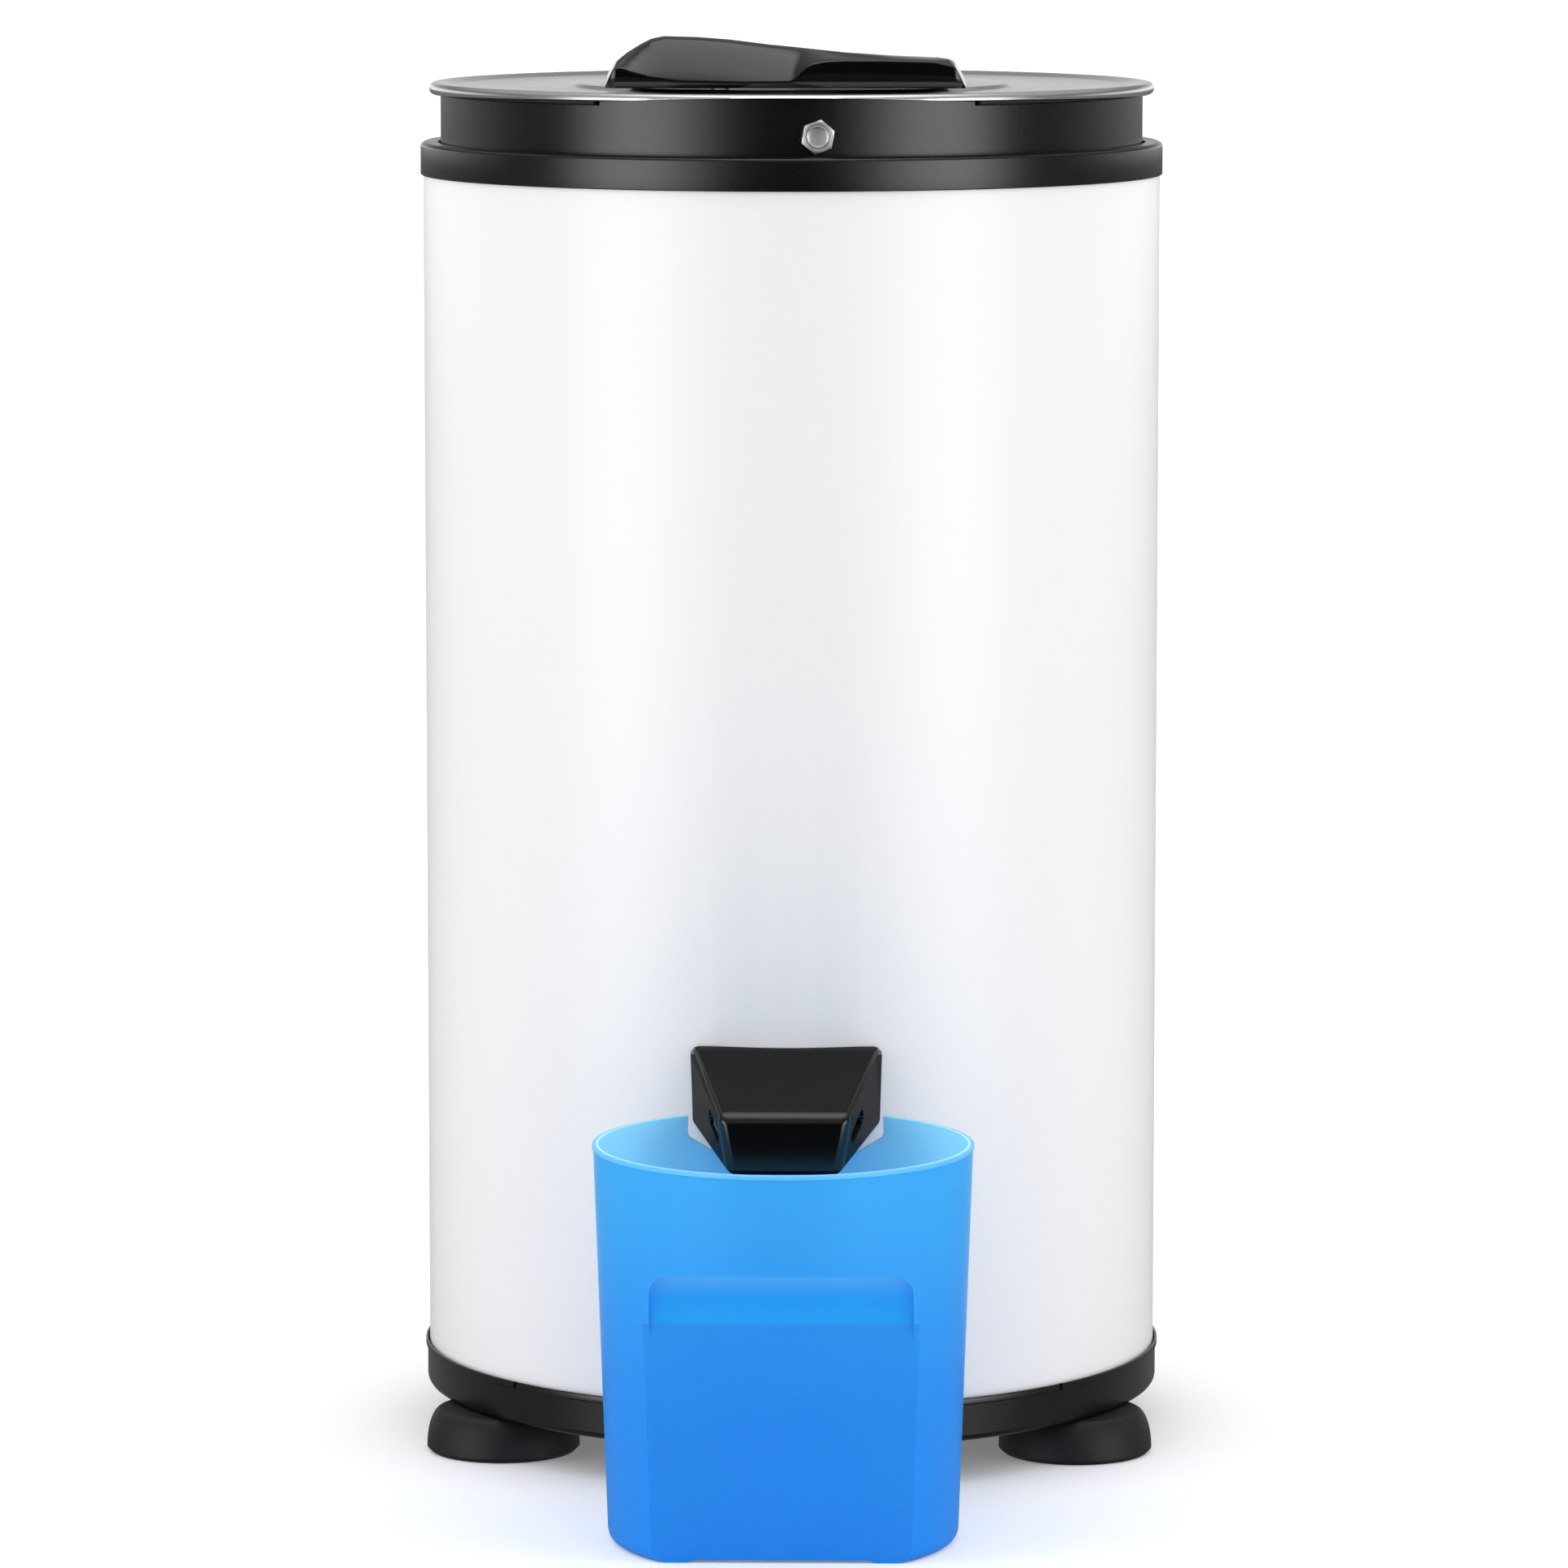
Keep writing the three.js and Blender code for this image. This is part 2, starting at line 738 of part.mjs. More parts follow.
// The lever's own frame has its pivot at x = 0, y = 0.
function handleShape() {
  const left = -handleLeft - leverX;
  const right = handleRight - leverX;
  const length = right - left;
  const heightShares = [0.1, 0.5, 0.85, 1, 0.97, 0.8, 0.68, 0.62, 0.56, 0.3];
  const lengthShares = [0, 0.027, 0.094, 0.16, 0.3, 0.5, 0.7, 0.92, 0.962, 0.99];
  const crest = lengthShares.map((share, i) => [left + share * length, heightShares[i] * handleRise]);
  const side = [[left, 0], ...crest, [right, 0]];
  const body = raised(side, -handleDepth, handleDepth).rotateX(Math.PI / 2);
  const halfDepth = handleDepth / 2;
  const halfFoot = handleFootDepth / 2;
  const halfTop = handleTopDepth / 2;
  const profile = [
    [-halfFoot, -seatGap],
    [halfFoot, -seatGap],
    [halfDepth, handleTailRise / 2],
    [halfTop, handleRise + seatGap],
    [-halfTop, handleRise + seatGap],
    [-halfDepth, handleTailRise / 2],
  ];
  const section = carriedAlongX(profile, left - overrun, right + overrun);
  const socket = rod(pivotRadius + seatGap, -overrun, pivotSink + seatGap, pinSides);
  return cut(common(body, section), socket);
}

function handlePivotShape() {
  const headTop = tongueBottom - seatGap;
  return turned([
    [0, headTop - pivotHeadHeight],
    [pivotHeadRadius, headTop - pivotHeadHeight],
    [pivotHeadRadius, headTop],
    [pivotRadius, headTop],
    [pivotRadius, handleBottom + pivotSink],
    [0, handleBottom + pivotSink],
  ], pinSides);
}

function latchTongueShape() {
  const eye = rod(pivotHeadRadius, tongueBottom, tongueTop, smallSides);
  const half = tongueWidth / 2;
  const bar = block([-half, half], [-tongueLength, 0], [tongueBottom, tongueTop]);
  const hole = rod(pivotRadius + seatGap, tongueBottom - overrun, tongueTop + overrun, pinSides);
  return cut(join(eye, bar), hole).rotateZ(tongueAngle);
}

const switchFront = keeperFront - nutHeight - nutReach - switchGap;
const switchLeft = keeperRight - switchLength;
const switchTop = Math.min(deckTop + switchHeight, shelfBottom - keeperClear);
const plungerLevel = switchTop - plungerDrop;
const plungerLine = -switchFront + switchWidth / 2;

function lidSwitchShape() {
  const depthRange = [-switchFront, -switchFront + switchWidth];
  const body = block([switchLeft, keeperRight], depthRange, [deckTop, switchTop]);
  const depth = plungerSink + plungerTravel + seatGap;
  return cut(body, rodAlongX(plungerRadius + seatGap, switchLeft - overrun, switchLeft + depth,
    plungerLine, plungerLevel, holeSides));
}

function switchPlungerShape() {
  return rodAlongX(plungerRadius, switchLeft - plungerReach, switchLeft + plungerSink,
    plungerLine, plungerLevel, holeSides);
}

const hingeY = bandRadius + hingePinSetback;
const hingeLevel = ringTop + hingePinRise;

function hingeBracketShape() {
  const low = ringTop;
  const wall = bandRadius + seatGap;
  const plate = block([-hingeHalf, hingeHalf], [bandRadius - overrun, bandRadius + hingePlate],
    [low, low + hingePlateHeight]);
  const ears = [-1, 1].flatMap((side) => {
    const x = [side * hingeHalf, side * (hingeHalf - hingeEar)].sort((a, b) => a - b);
    const foot = block(x, [bandRadius - overrun, hingeY + hingeEarRadius], [low, hingeLevel]);
    return [foot, rodAlongX(hingeEarRadius, x[0], x[1], hingeY, hingeLevel, smallSides)];
  });
  const bore = rodAlongX(hingePinRadius + seatGap, -shellRadius, shellRadius, hingeY, hingeLevel, pinSides);
  return cut(join(plate, ...ears), rod(wall, low - overrun, bandTop + deepCut, wideSides), bore);
}

function hingePinShape() {
  const end = hingeHalf + seatGap;
  const head = rodAlongX(pinHeadRadius, end, end + pinHead, hingeY, hingeLevel, pinSides);
  return join(rodAlongX(hingePinRadius, -end, end + pinHead, hingeY, hingeLevel, pinSides), head);
}

function hingeLeafShape() {
  const half = hingeHalf - hingeEar - knuckleGap;
  const leafBottom = dishTop + seatGap;
  const leafTop = leafBottom + leafThickness;
  const knuckle = rodAlongX(knuckleRadius, -half, half, hingeY, hingeLevel, smallSides);
  const arm = block([-half, half], [hingeY - leafReach, hingeY + knuckleRadius / 2], [leafBottom, leafTop]);
  const web = block([-half, half], [hingeY - knuckleRadius, hingeY + knuckleRadius / 2],
    [hingeLevel, leafTop]);
  const slopeClear = ring(lidRimRadius - lidRollWidth - lidSlope - lidStepWidth, lidRimRadius + seatGap,
    leafBottom - overrun, lidTop + seatGap, wideSides);
  const underNotch = block([-hingeNotchHalf, hingeNotchHalf],
    [lidRimRadius - hingeNotchDepth + seatGap, hingeY + deepCut], [lidBottom - deepCut, lidTop + overrun]);
  const bore = rodAlongX(hingePinRadius + seatGap, -shellRadius, shellRadius, hingeY, hingeLevel, pinSides);
  return cut(join(arm, web, knuckle), cut(slopeClear, underNotch), bore);
}

function spoutShape() {
  const rear = -(shellRadius - overrun);
  const crease = -(shellRadius + spoutReach);
  const lip = -(shellRadius + spoutLipReach);
  const corners = (half, creaseHalf, lipHalf, inset, drop) => [-1, 1].flatMap((side) => [
    [side * half, rear, spoutTop - inset],
    [side * half, rear, spoutTop - spoutRearDrop - drop],
    [side * creaseHalf, crease + inset, spoutTop - spoutCreaseDrop - inset],
    [side * lipHalf, lip + inset, spoutTop - spoutLipDrop - drop],
  ].map((place) => new THREE.Vector3(...place)));
  const outer = new ConvexGeometry(corners(spoutHalfWidth, spoutCreaseHalf, spoutLipHalf, 0, 0));
  const inner = new ConvexGeometry(corners(spoutHalfWidth - spoutWall, spoutCreaseHalf - spoutWall,
    spoutLipHalf - spoutWall, spoutWall, spoutLipDrop));
  const againstCasing = rod(shellRadius + seatGap, 0, bandTop, wideSides);
  const bosses = [-1, 1].map((side) => {
    const x = [-spoutBossWidth / 2, (spoutBossWidth + spoutWall) / 2]
      .map((edge) => side * (spoutScrewX + edge))
      .sort((a, b) => a - b);
    return block(x, [-shellRadius - spoutBossDepth, rear],
      [spoutTop - spoutBossHeight - spoutWall, spoutTop - spoutWall / 2]);
  });
  const screwHoles = [-1, 1].map((side) => rodAlongY(spoutScrewRadius + seatGap,
    -shellRadius - spoutBossDepth + spoutWall, 0, side * spoutScrewX, spoutScrewLevel, holeSides));
  const slotY = -shellRadius - spoutSlotReach;
  const slotLevel = spoutTop - spoutSlotDrop;
  const slotHalf = (spoutSlotLength - spoutSlotHeight) / 2;
  const slot = join(
    block([-shellRadius, shellRadius], [slotY - slotHalf, slotY + slotHalf],
      [slotLevel - spoutSlotHeight / 2, slotLevel + spoutSlotHeight / 2]),
    ...[-1, 1].map((end) => rodAlongX(spoutSlotHeight / 2, -shellRadius, shellRadius,
      slotY + end * slotHalf, slotLevel, holeSides)));
  const hood = cut(outer, inner);
  const held = common(join(hood, ...bosses), outer);
  return cut(held, againstCasing, slot, ...screwHoles);
}

function spoutScrewShape(side) {
  const flat = (shellRadius - shellWall) * Math.cos(Math.PI / wideSides);
  const inside = Math.sqrt(flat ** 2 - (spoutScrewX + spoutScrewHeadRadius) ** 2) - seatGap / 2;
  const x = side * spoutScrewX;
  const headEnd = -inside + spoutScrewHead;
  const head = rodAlongY(spoutScrewHeadRadius, -inside, headEnd, x, spoutScrewLevel, pinSides);
  const shank = rodAlongY(spoutScrewRadius, -inside - spoutScrewLength, -inside + spoutScrewHead / 2,
    x, spoutScrewLevel, holeSides);
  return join(head, shank);
}

function tubShape() {
  const inner = tubRadius - tubWall;
  const hubTop = tubBottom + tubHubRise;
  const shaftHole = shaftSealRadius + seatGap;
  const tub = turned([
    [plateHoleRadius + tubFloor, tubBottom],
    [tubHubFoot + tubFloor, tubBottom],
    [tubRadius, tubBottom],
    [tubRadius, tubTop],
    [tubMouthRadius, tubTop],
    [tubMouthRadius, tubTop - tubWall],
    [inner, tubTop - tubWall],
    [inner, tubBottom + tubFloor],
    [tubHubFoot, tubBottom + tubFloor],
    [tubHubRadius, hubTop],
    [shaftHole, hubTop],
    [shaftHole, hubTop - tubFloor],
    [tubHubRadius - tubFloor, hubTop - tubFloor],
  ], innerSides);
  const stub = rodAlongY(nozzleRadius, -tubRadius - nozzleLength, -inner + overrun, 0, hoseLevel, smallSides);
  const outside = -tubRadius - nozzleLength - overrun;
  const bore = rodAlongY(nozzleBore, outside, -inner + deepCut, 0, hoseLevel, smallSides);
  const within = rod(inner, tubBottom + tubFloor, tubTop - tubWall, innerSides);
  return cut(join(tub, cut(stub, within)), bore);
}

function drainHoseShape() {
  const from = -shellRadius - hoseReach;
  const to = -tubRadius - nozzleLength + hoseLap;
  return cut(
    rodAlongY(hoseRadius, from, to, 0, hoseLevel, smallSides),
    rodAlongY(nozzleRadius + seatGap, from - overrun, to + overrun, 0, hoseLevel, smallSides));
}

function mouthSealShape() {
  const inner = neckRadius + neckWall + seatGap;
  return ring(inner, inner + sealWidth, tubTop, tubTop + sealHeight, wideSides);
}

function drumShape() {
  const inner = drumRadius - drumWall;
  const drum = turned([
    [shaftEndRadius + seatGap, drumBottom],
    [drumRadius, drumBottom],
    [drumRadius, drumTop],
    [drumMouthRadius, drumTop],
    [drumMouthRadius, drumTop - drumWall],
    [inner, drumTop - drumWall],
    [inner, drumFloorTop],
    [shaftEndRadius + seatGap, drumFloorTop],
  ], wideSides);
  const through = [];
  for (let row = 0; row < drumHoleRows; row += 1) {
    const level = drumBottom + drumHeight * (row + 1) / (drumHoleRows + 1);
    for (let column = 0; column < drumHoleColumns / 2; column += 1) {
      const turn = Math.PI * 2 * (column + (row % 2) / 2 + 1 / 4) / drumHoleColumns;
      const reach = drumRadius + overrun;
      const drill = rodAlongX(drumHoleRadius, -reach, reach, 0, 0, drumHoleSides);
      through.push(drill.rotateZ(turn).translate(0, 0, level));
    }
  }
  return cut(drum, ...through);
}

function drumHubShape() {
  const bore = shaftRadius + seatGap;
  return turned([
    [bore, drumBottom - hubNeckDrop],
    [hubNeckRadius, drumBottom - hubNeckDrop],
    [hubNeckRadius, drumBottom - hubFlange],
    [hubRadius, drumBottom - hubFlange],
    [hubRadius, drumBottom],
    [shaftEndRadius + seatGap, drumBottom],
    [shaftEndRadius + seatGap, drumBottom - seatGap],
    [bore, drumBottom - seatGap],
  ], innerSides);
}

function driveShaftShape() {
  const shoulder = drumBottom - shaftShoulderGap;
  return turned([
    [0, floorTop + shaftFoot],
    [shaftRadius, floorTop + shaftFoot],
    [shaftRadius, shoulder],
    [shaftEndRadius, shoulder],
    [shaftEndRadius, drumFloorTop + shaftEndHeight],
    [0, drumFloorTop + shaftEndHeight],
  ], smallSides);
}

function drumNutShape() {
  const bottom = drumFloorTop;
  return cut(hexagon(drumNutAcrossFlats, bottom, bottom + drumNutHeight),
    rod(shaftEndRadius + seatGap, bottom - overrun, bottom + drumNutHeight + overrun, smallSides));
}

function hubCapShape() {
  const top = drumFloorTop + capHeight;
  return turned([
    [0, top],
    [capTopRadius, top],
    [capRadius, drumFloorTop + capWall],
    [capRadius, drumFloorTop],
    [capRadius - capFootWidth, drumFloorTop],
    [capTopRadius - capWall / 2, top - capWall],
    [0, top - capWall],
  ], innerSides);
}

function pressPlateShape() {
  const top = pressBottom + pressSheet;
  const plate = turned([
    [0, pressBottom],
    [pressRadius, pressBottom],
    [pressRadius, pressBottom + pressRim],
    [pressRadius - pressRimWidth, pressBottom + pressRim],
    [pressRadius - pressRimWidth, top],
    [pressBeadRadius + pressBeadWidth, top],
    [pressBeadRadius + pressBeadWidth / 2, top + pressBeadHeight],
    [pressBeadRadius, top],
    [0, top],
  ], wideSides);
  const low = pressBottom - overrun;
  const high = top + overrun;
  const holes = pressRingShares.flatMap((ringShare, row) => {
    const radius = pressHoleShares[row] * pressRadius;
    const sides = row === 0 ? holeSides : pressHoleSides;
    return pressHoleTurnShares[row].flatMap((turnShare) =>
      around(pressHoleGroups, ringShare * pressRadius, Math.PI * 2 * turnShare / pressHoleGroups)
        .map(([x, y]) => rod(radius, low, high, sides).translate(x, y, 0)));
  });
  const middle = rod(pressSectorRadius, low, high, smallSides);
  const half = pressRadius * pressCrossShare / 2;
  const cross = [
    block([-half, half], [-pressRadius, pressRadius], [low - overrun, high + overrun]),
    block([-pressRadius, pressRadius], [-half, half], [low - overrun, high + overrun]),
    rod(pressHubRadius, low - overrun, high + overrun, pinSides),
  ];
  return cut(plate, ...holes, cut(middle, ...cross));
}

const bellInner = statorRadius - bellWall;
const bearingHole = bearingRadius + seatGap;

function statorShape() {
  return ring(rotorRadius + airGap, bellInner - seatGap, stackBottom, stackTop, innerSides);
}

// The upper end bell, or the lower one turned over by a negative direction.
function bellShape(outerEnd, direction) {
  const level = (inward) => outerEnd - direction * inward;
  const rim = Math.abs(outerEnd - (stackBottom + stackTop) / 2) - seatGap / 2;
  return turned([
    [bearingHole, level(0)],
    [statorRadius, level(0)],
    [statorRadius, level(rim)],
    [bellInner, level(rim)],
    [bellInner, level(bellWall)],
    [bearingHole + bellWall, level(bellWall)],
    [bearingHole + bellWall, level(bellSocket)],
    [bearingHole, level(bellSocket)],
  ], innerSides);
}

function bearingShape(outerEnd, direction) {
  const far = outerEnd - direction * bearingHeight;
  const [low, high] = [outerEnd, far].sort((a, b) => a - b);
  return ring(shaftRadius + seatGap, bearingRadius, low, high, smallSides);
}

function postShape() {
  const flange = floorTop + postFlangeRise;
  return turned([
    [0, floorTop],
    [postFlangeRadius, floorTop],
    [postRadius, floorTop + postFlangeHeight],
    [postRadius, flange],
    [postFlangeRadius, flange],
    [postFlangeRadius, flange + postFlangeHeight],
    [postRadius, flange + postFlangeHeight],
    [postRadius, floorTop + postHeight],
    [0, floorTop + postHeight],
  ], pinSides);
}

const bufferBottom = floorTop + postFlangeRise + postFlangeHeight;
const springBottom = bufferBottom + bufferHeight + seatGap + springWire;
const springTop = plateBottom - seatGap - springWire;

class Helix extends THREE.Curve {
  getPoint(share) {
    const turn = share * springTurns * Math.PI * 2;
    return new THREE.Vector3(
      springRadius * Math.cos(turn),
      springRadius * Math.sin(turn),
      springBottom + (springTop - springBottom) * share);
  }
}

function springShape() {
  return new THREE.ExtrudeGeometry(flatCircle(springWireSides, springWire), {
    extrudePath: new Helix(),
    steps: springTurns * springStepsPerTurn,
  });
}

const padInner = (wheelRadius + seatGap) / Math.cos(Math.PI / innerSides);
const armInner = wheelRadius + seatGap + brakePadThickness;
const armOuter = armInner + brakeArmWidth;
const armMiddle = (armInner + armOuter) / 2;
const armEnd = brakePivotY + brakeArmLength;
const cableY = armEnd - brakeHoleInset;

// The brake lever's own frame has its pivot at x = 0, y = 0.
function brakeLeverShape() {
  const low = brakeLevel - brakeArmHeight / 2;
  const high = brakeLevel + brakeArmHeight / 2;
  const arm = block([-brakeArmWidth / 2, brakeArmWidth / 2], [-brakeArmTail, brakeArmLength], [low, high]);
  const bore = rod(brakePivotRadius + seatGap, low - overrun, high + overrun, pinSides);
  const eye = rodAlongX(brakeHoleRadius, -armOuter, armOuter, cableY - brakePivotY, brakeLevel, holeSides);
  return cut(arm, bore, eye);
}

function brakePadShape() {
  const half = brakePadLength / 2;
  const pad = block([padInner - brakePadThickness, armInner], [-half, half],
    [brakeLevel - brakeArmHeight / 2, brakeLevel + brakeArmHeight / 2]);
  const wheel = rod(padInner, brakeLevel - wheelHeight, brakeLevel + wheelHeight, innerSides);
  return cut(pad, wheel).translate(-armMiddle, -brakePivotY, 0);
}

function brakePivotShape() {
  const armTop = brakeLevel + brakeArmHeight / 2 + seatGap;
  const armLow = brakeLevel - brakeArmHeight / 2 - seatGap;
  return turned([
    [0, floorTop],
    [brakePivotCollar, floorTop],
    [brakePivotCollar, armLow],
    [brakePivotRadius, armLow],
    [brakePivotRadius, armTop],
    [brakePivotCollar, armTop],
    [brakePivotCollar, armTop + brakePivotCap],
    [0, armTop + brakePivotCap],
  ], pinSides);
}

function cableStopShape() {
  const post = block([stopX, stopX + stopThickness], [cableY - stopWidth / 2, cableY + stopWidth / 2],
    [floorTop, floorTop + stopHeight]);
  const far = stopX + stopThickness + overrun;
  return cut(post, rodAlongX(wireRadius + seatGap, stopX - overrun, far, cableY, brakeLevel, holeSides));
}

// The cable leaves its stop outward, bends up beside the tub and runs straight to the collar.
function cableRoute() {
  const start = new THREE.Vector3(stopX + stopThickness + seatGap, cableY, brakeLevel);
  const run = new THREE.Vector3(cableRunRadius, 0, brakeLevel + cableBendRise);
  run.applyAxisAngle(new THREE.Vector3(0, 0, 1), cableRunAngle);
  const bend = cableOutShares.map((outShare, i) => new THREE.Vector3(
    start.x + (run.x - start.x) * outShare,
    start.y + (run.y - start.y) * cableSideShares[i],
    start.z + (run.z - start.z) * cableRiseShares[i]));
  const top = shellTop - seatGap;
  const rise = cableRunShares.map((runShare) =>
    new THREE.Vector3(run.x, run.y, run.z + (top - run.z) * runShare));
  return new THREE.CatmullRomCurve3([...bend, ...rise]);
}

function brakeCableShape() {
  const route = cableRoute();
  const section = flatCircle(cableSides, cableRadius);
  const sheath = new THREE.ExtrudeGeometry(section, { extrudePath: route, steps: cableSteps });
  const wireEnd = stopX + stopThickness + overrun;
  const wire = rodAlongX(wireRadius, armInner - nippleLength, wireEnd, cableY, brakeLevel, holeSides);
  const nipple = rodAlongX(nippleRadius, armInner - seatGap - nippleLength, armInner - seatGap,
    cableY, brakeLevel, holeSides);
  return join(sheath, wire, nipple);
}

function capacitorShape() {
  return turned([
    [0, floorTop],
    [capacitorRadius, floorTop],
    [capacitorRadius, floorTop + capacitorHeight - capacitorEdge],
    [capacitorRadius - capacitorEdge, floorTop + capacitorHeight],
    [0, floorTop + capacitorHeight],
  ], smallSides);
}

function cordGlandShape() {
  const wall = shellRadius + seatGap;
  const flange = rodAlongY(glandFlangeRadius, wall, wall + glandFlange, 0, glandLevel, smallSides);
  const neckEnd = wall + glandFlange / 2;
  const neck = rodAlongY(glandNeckRadius, shellRadius - glandNeck, neckEnd, 0, glandLevel, smallSides);
  const bore = rodAlongY(glandBore, 0, shellRadius + deepCut, 0, glandLevel, pinSides);
  return cut(join(flange, neck), bore);
}

// A tapered cup. Its front is flat up to the grip's top, and from there it curves out to the full round.
function cupForm(inset, bottom, top) {
  const widening = (bucketTopRadius - bucketBaseRadius) / bucketHeight;
  const radiusAt = (level) => bucketBaseRadius + widening * level - inset;
  const corner = Math.max(bucketCorner - inset, bucketWall / 2);
  const front = gripInset - inset;
  const gripTop = gripHeight + gripSlopeRise;
  const section = (radius, depth, level) => around(wideSides, radius, 0)
    .map(([x, y]) => new THREE.Vector3(x, Math.max(y, -depth), level));
  const cornerTop = bottom + corner;
  const upright = section(radiusAt(gripHeight), front, gripHeight);
  const lower = new ConvexGeometry([
    ...section(radiusAt(bottom) - corner, front - corner, bottom),
    ...section(radiusAt(cornerTop), front, cornerTop),
    ...upright,
  ]);
  const fullRound = radiusAt(gripTop);
  const shoulder = new ConvexGeometry([...upright, ...section(fullRound, fullRound, gripTop)]);
  const upper = turned([[0, gripTop], [fullRound, gripTop], [radiusAt(top), top], [0, top]], wideSides);
  return join(lower, shoulder, upper);
}

function bucketShape() {
  const outer = cupForm(0, 0, bucketHeight);
  const lip = ring(bucketTopRadius - bucketWall, bucketTopRadius + bucketLip,
    bucketHeight - bucketLipHeight, bucketHeight, wideSides);
  const inner = cupForm(bucketWall, bucketFloor, bucketHeight + overrun);
  const shoulder = bucketHeight - bucketLap - notchClear;
  const floorHalf = spoutLipHalf + notchHalf - spoutHalfWidth;
  const notchCorners = [0, shellRadius].flatMap((y) => [-1, 1].flatMap((side) => [
    new THREE.Vector3(side * notchHalf, y, bucketHeight + overrun),
    new THREE.Vector3(side * notchHalf, y, shoulder),
    new THREE.Vector3(side * floorHalf, y, bucketHeight - notchDepth),
  ]));
  const spoutNotch = new ConvexGeometry(notchCorners);
  return cut(join(outer, lip), inner, spoutNotch);
}

// The catch bucket stands just in front of the base, its rim round the spout's mouth.
const bucketY = -(baseRadius + bucketTopRadius + bucketStandOff);
const frontReach = bucketY - bucketTopRadius - bucketLip;
const rearReach = footPitchRadius + footRadius;

const dryer = new THREE.Group();
dryer.position.y = -(frontReach + rearReach) / 2;

const casing = new THREE.Group();
addPiece(casing, 'base_pan', basePanShape(), finishes.blackSatin);
addPiece(casing, 'casing_shell', casingShape(), finishes.whiteSteel);
addPiece(casing, 'collar_ring', collarRingShape(), finishes.blackSatin);
addPiece(casing, 'collar_band', collarBandShape(), finishes.blackSatin);
addPiece(casing, 'hex_bolt', hexBoltShape(), finishes.steel);
addPiece(casing, 'latch_keeper', keeperShape(), finishes.steel);
addPiece(casing, 'lid_switch', lidSwitchShape(), finishes.greyPlastic);
addPiece(casing, 'hinge_bracket', hingeBracketShape(), finishes.blackSatin);
addPiece(casing, 'hinge_pin', hingePinShape(), finishes.steel);
addPiece(casing, 'spout', spoutShape(), finishes.blackGloss);
addPiece(casing, 'cord_gland', cordGlandShape(), finishes.rubber);
addPiece(casing, 'capacitor', capacitorShape(), finishes.whitePlastic, capacitorX, capacitorY, 0);
footPlaces.forEach(([x, y], i) => {
  addPiece(casing, `foot_${footNames[i]}`, footShape(), finishes.rubber, x, y, 0);
  addPiece(casing, `foot_screw_${footNames[i]}`, footScrewShape(), finishes.steel, x, y, 0);
});
addPiece(casing, 'spout_screw_left', spoutScrewShape(-1), finishes.steel);
addPiece(casing, 'spout_screw_right', spoutScrewShape(1), finishes.steel);

const hung = new THREE.Group();
mountPlaces.forEach(([x, y], i) => {
  const bufferTop = bufferBottom + bufferHeight;
  const buffer = ring(postRadius + seatGap, postFlangeRadius, bufferBottom, bufferTop, smallSides);
  addPiece(hung, `mount_post_${footNames[i]}`, postShape(), finishes.steel, x, y, 0);
  addPiece(hung, `mount_buffer_${footNames[i]}`, buffer, finishes.rubber, x, y, 0);
  addPiece(hung, `mount_spring_${footNames[i]}`, springShape(), finishes.steel, x, y, 0);
});
addPiece(hung, 'carrier_plate',
  ring(plateHoleRadius, plateRadius, plateBottom, plateTop, innerSides), finishes.steel);
addPiece(hung, 'tub', tubShape(), finishes.greyPlastic);
addPiece(hung, 'mouth_seal', mouthSealShape(), finishes.rubber);
addPiece(hung, 'shaft_seal', ring(shaftRadius + seatGap, shaftSealRadius,
  tubBottom + tubHubRise - shaftSealHeight, tubBottom + tubHubRise, smallSides), finishes.rubber);
addPiece(hung, 'drain_hose', drainHoseShape(), finishes.rubber);
addPiece(hung, 'motor_bell_upper', bellShape(bellTop, 1), finishes.motorPaint);
addPiece(hung, 'motor_bell_lower', bellShape(bellBottom, -1), finishes.motorPaint);
addPiece(hung, 'motor_stator', statorShape(), finishes.steel);
addPiece(hung, 'bearing_upper', bearingShape(bellTop, 1), finishes.steel);
addPiece(hung, 'bearing_lower', bearingShape(bellBottom, -1), finishes.steel);

const brake = new THREE.Group();
addPiece(brake, 'brake_pivot', brakePivotShape(), finishes.steel, armMiddle, brakePivotY, 0);
addPiece(brake, 'cable_stop', cableStopShape(), finishes.steel);
addPiece(brake, 'brake_cable', brakeCableShape(), finishes.rubber);
addPiece(brake, 'brake_lever', brakeLeverShape(), finishes.steel, armMiddle, brakePivotY, 0);
addPiece(brake, 'brake_pad', brakePadShape(), finishes.rubber, armMiddle, brakePivotY, 0);

const spinning = new THREE.Group();
addPiece(spinning, 'drum', drumShape(), finishes.drumSteel);
addPiece(spinning, 'drum_hub', drumHubShape(), finishes.steel);
addPiece(spinning, 'drive_shaft', driveShaftShape(), finishes.steel);
addPiece(spinning, 'drum_nut', drumNutShape(), finishes.steel);
addPiece(spinning, 'hub_cap', hubCapShape(), finishes.whitePlastic);
addPiece(spinning, 'motor_rotor', ring(shaftRadius + seatGap, rotorRadius,
  stackBottom + rotorTrim, stackTop - rotorTrim, innerSides), finishes.steel);
addPiece(spinning, 'brake_wheel', ring(shaftRadius + seatGap, wheelRadius,
  floorTop + wheelRise, floorTop + wheelRise + wheelHeight, innerSides), finishes.steel);
addPiece(spinning, 'press_plate', pressPlateShape(), finishes.whitePlastic);

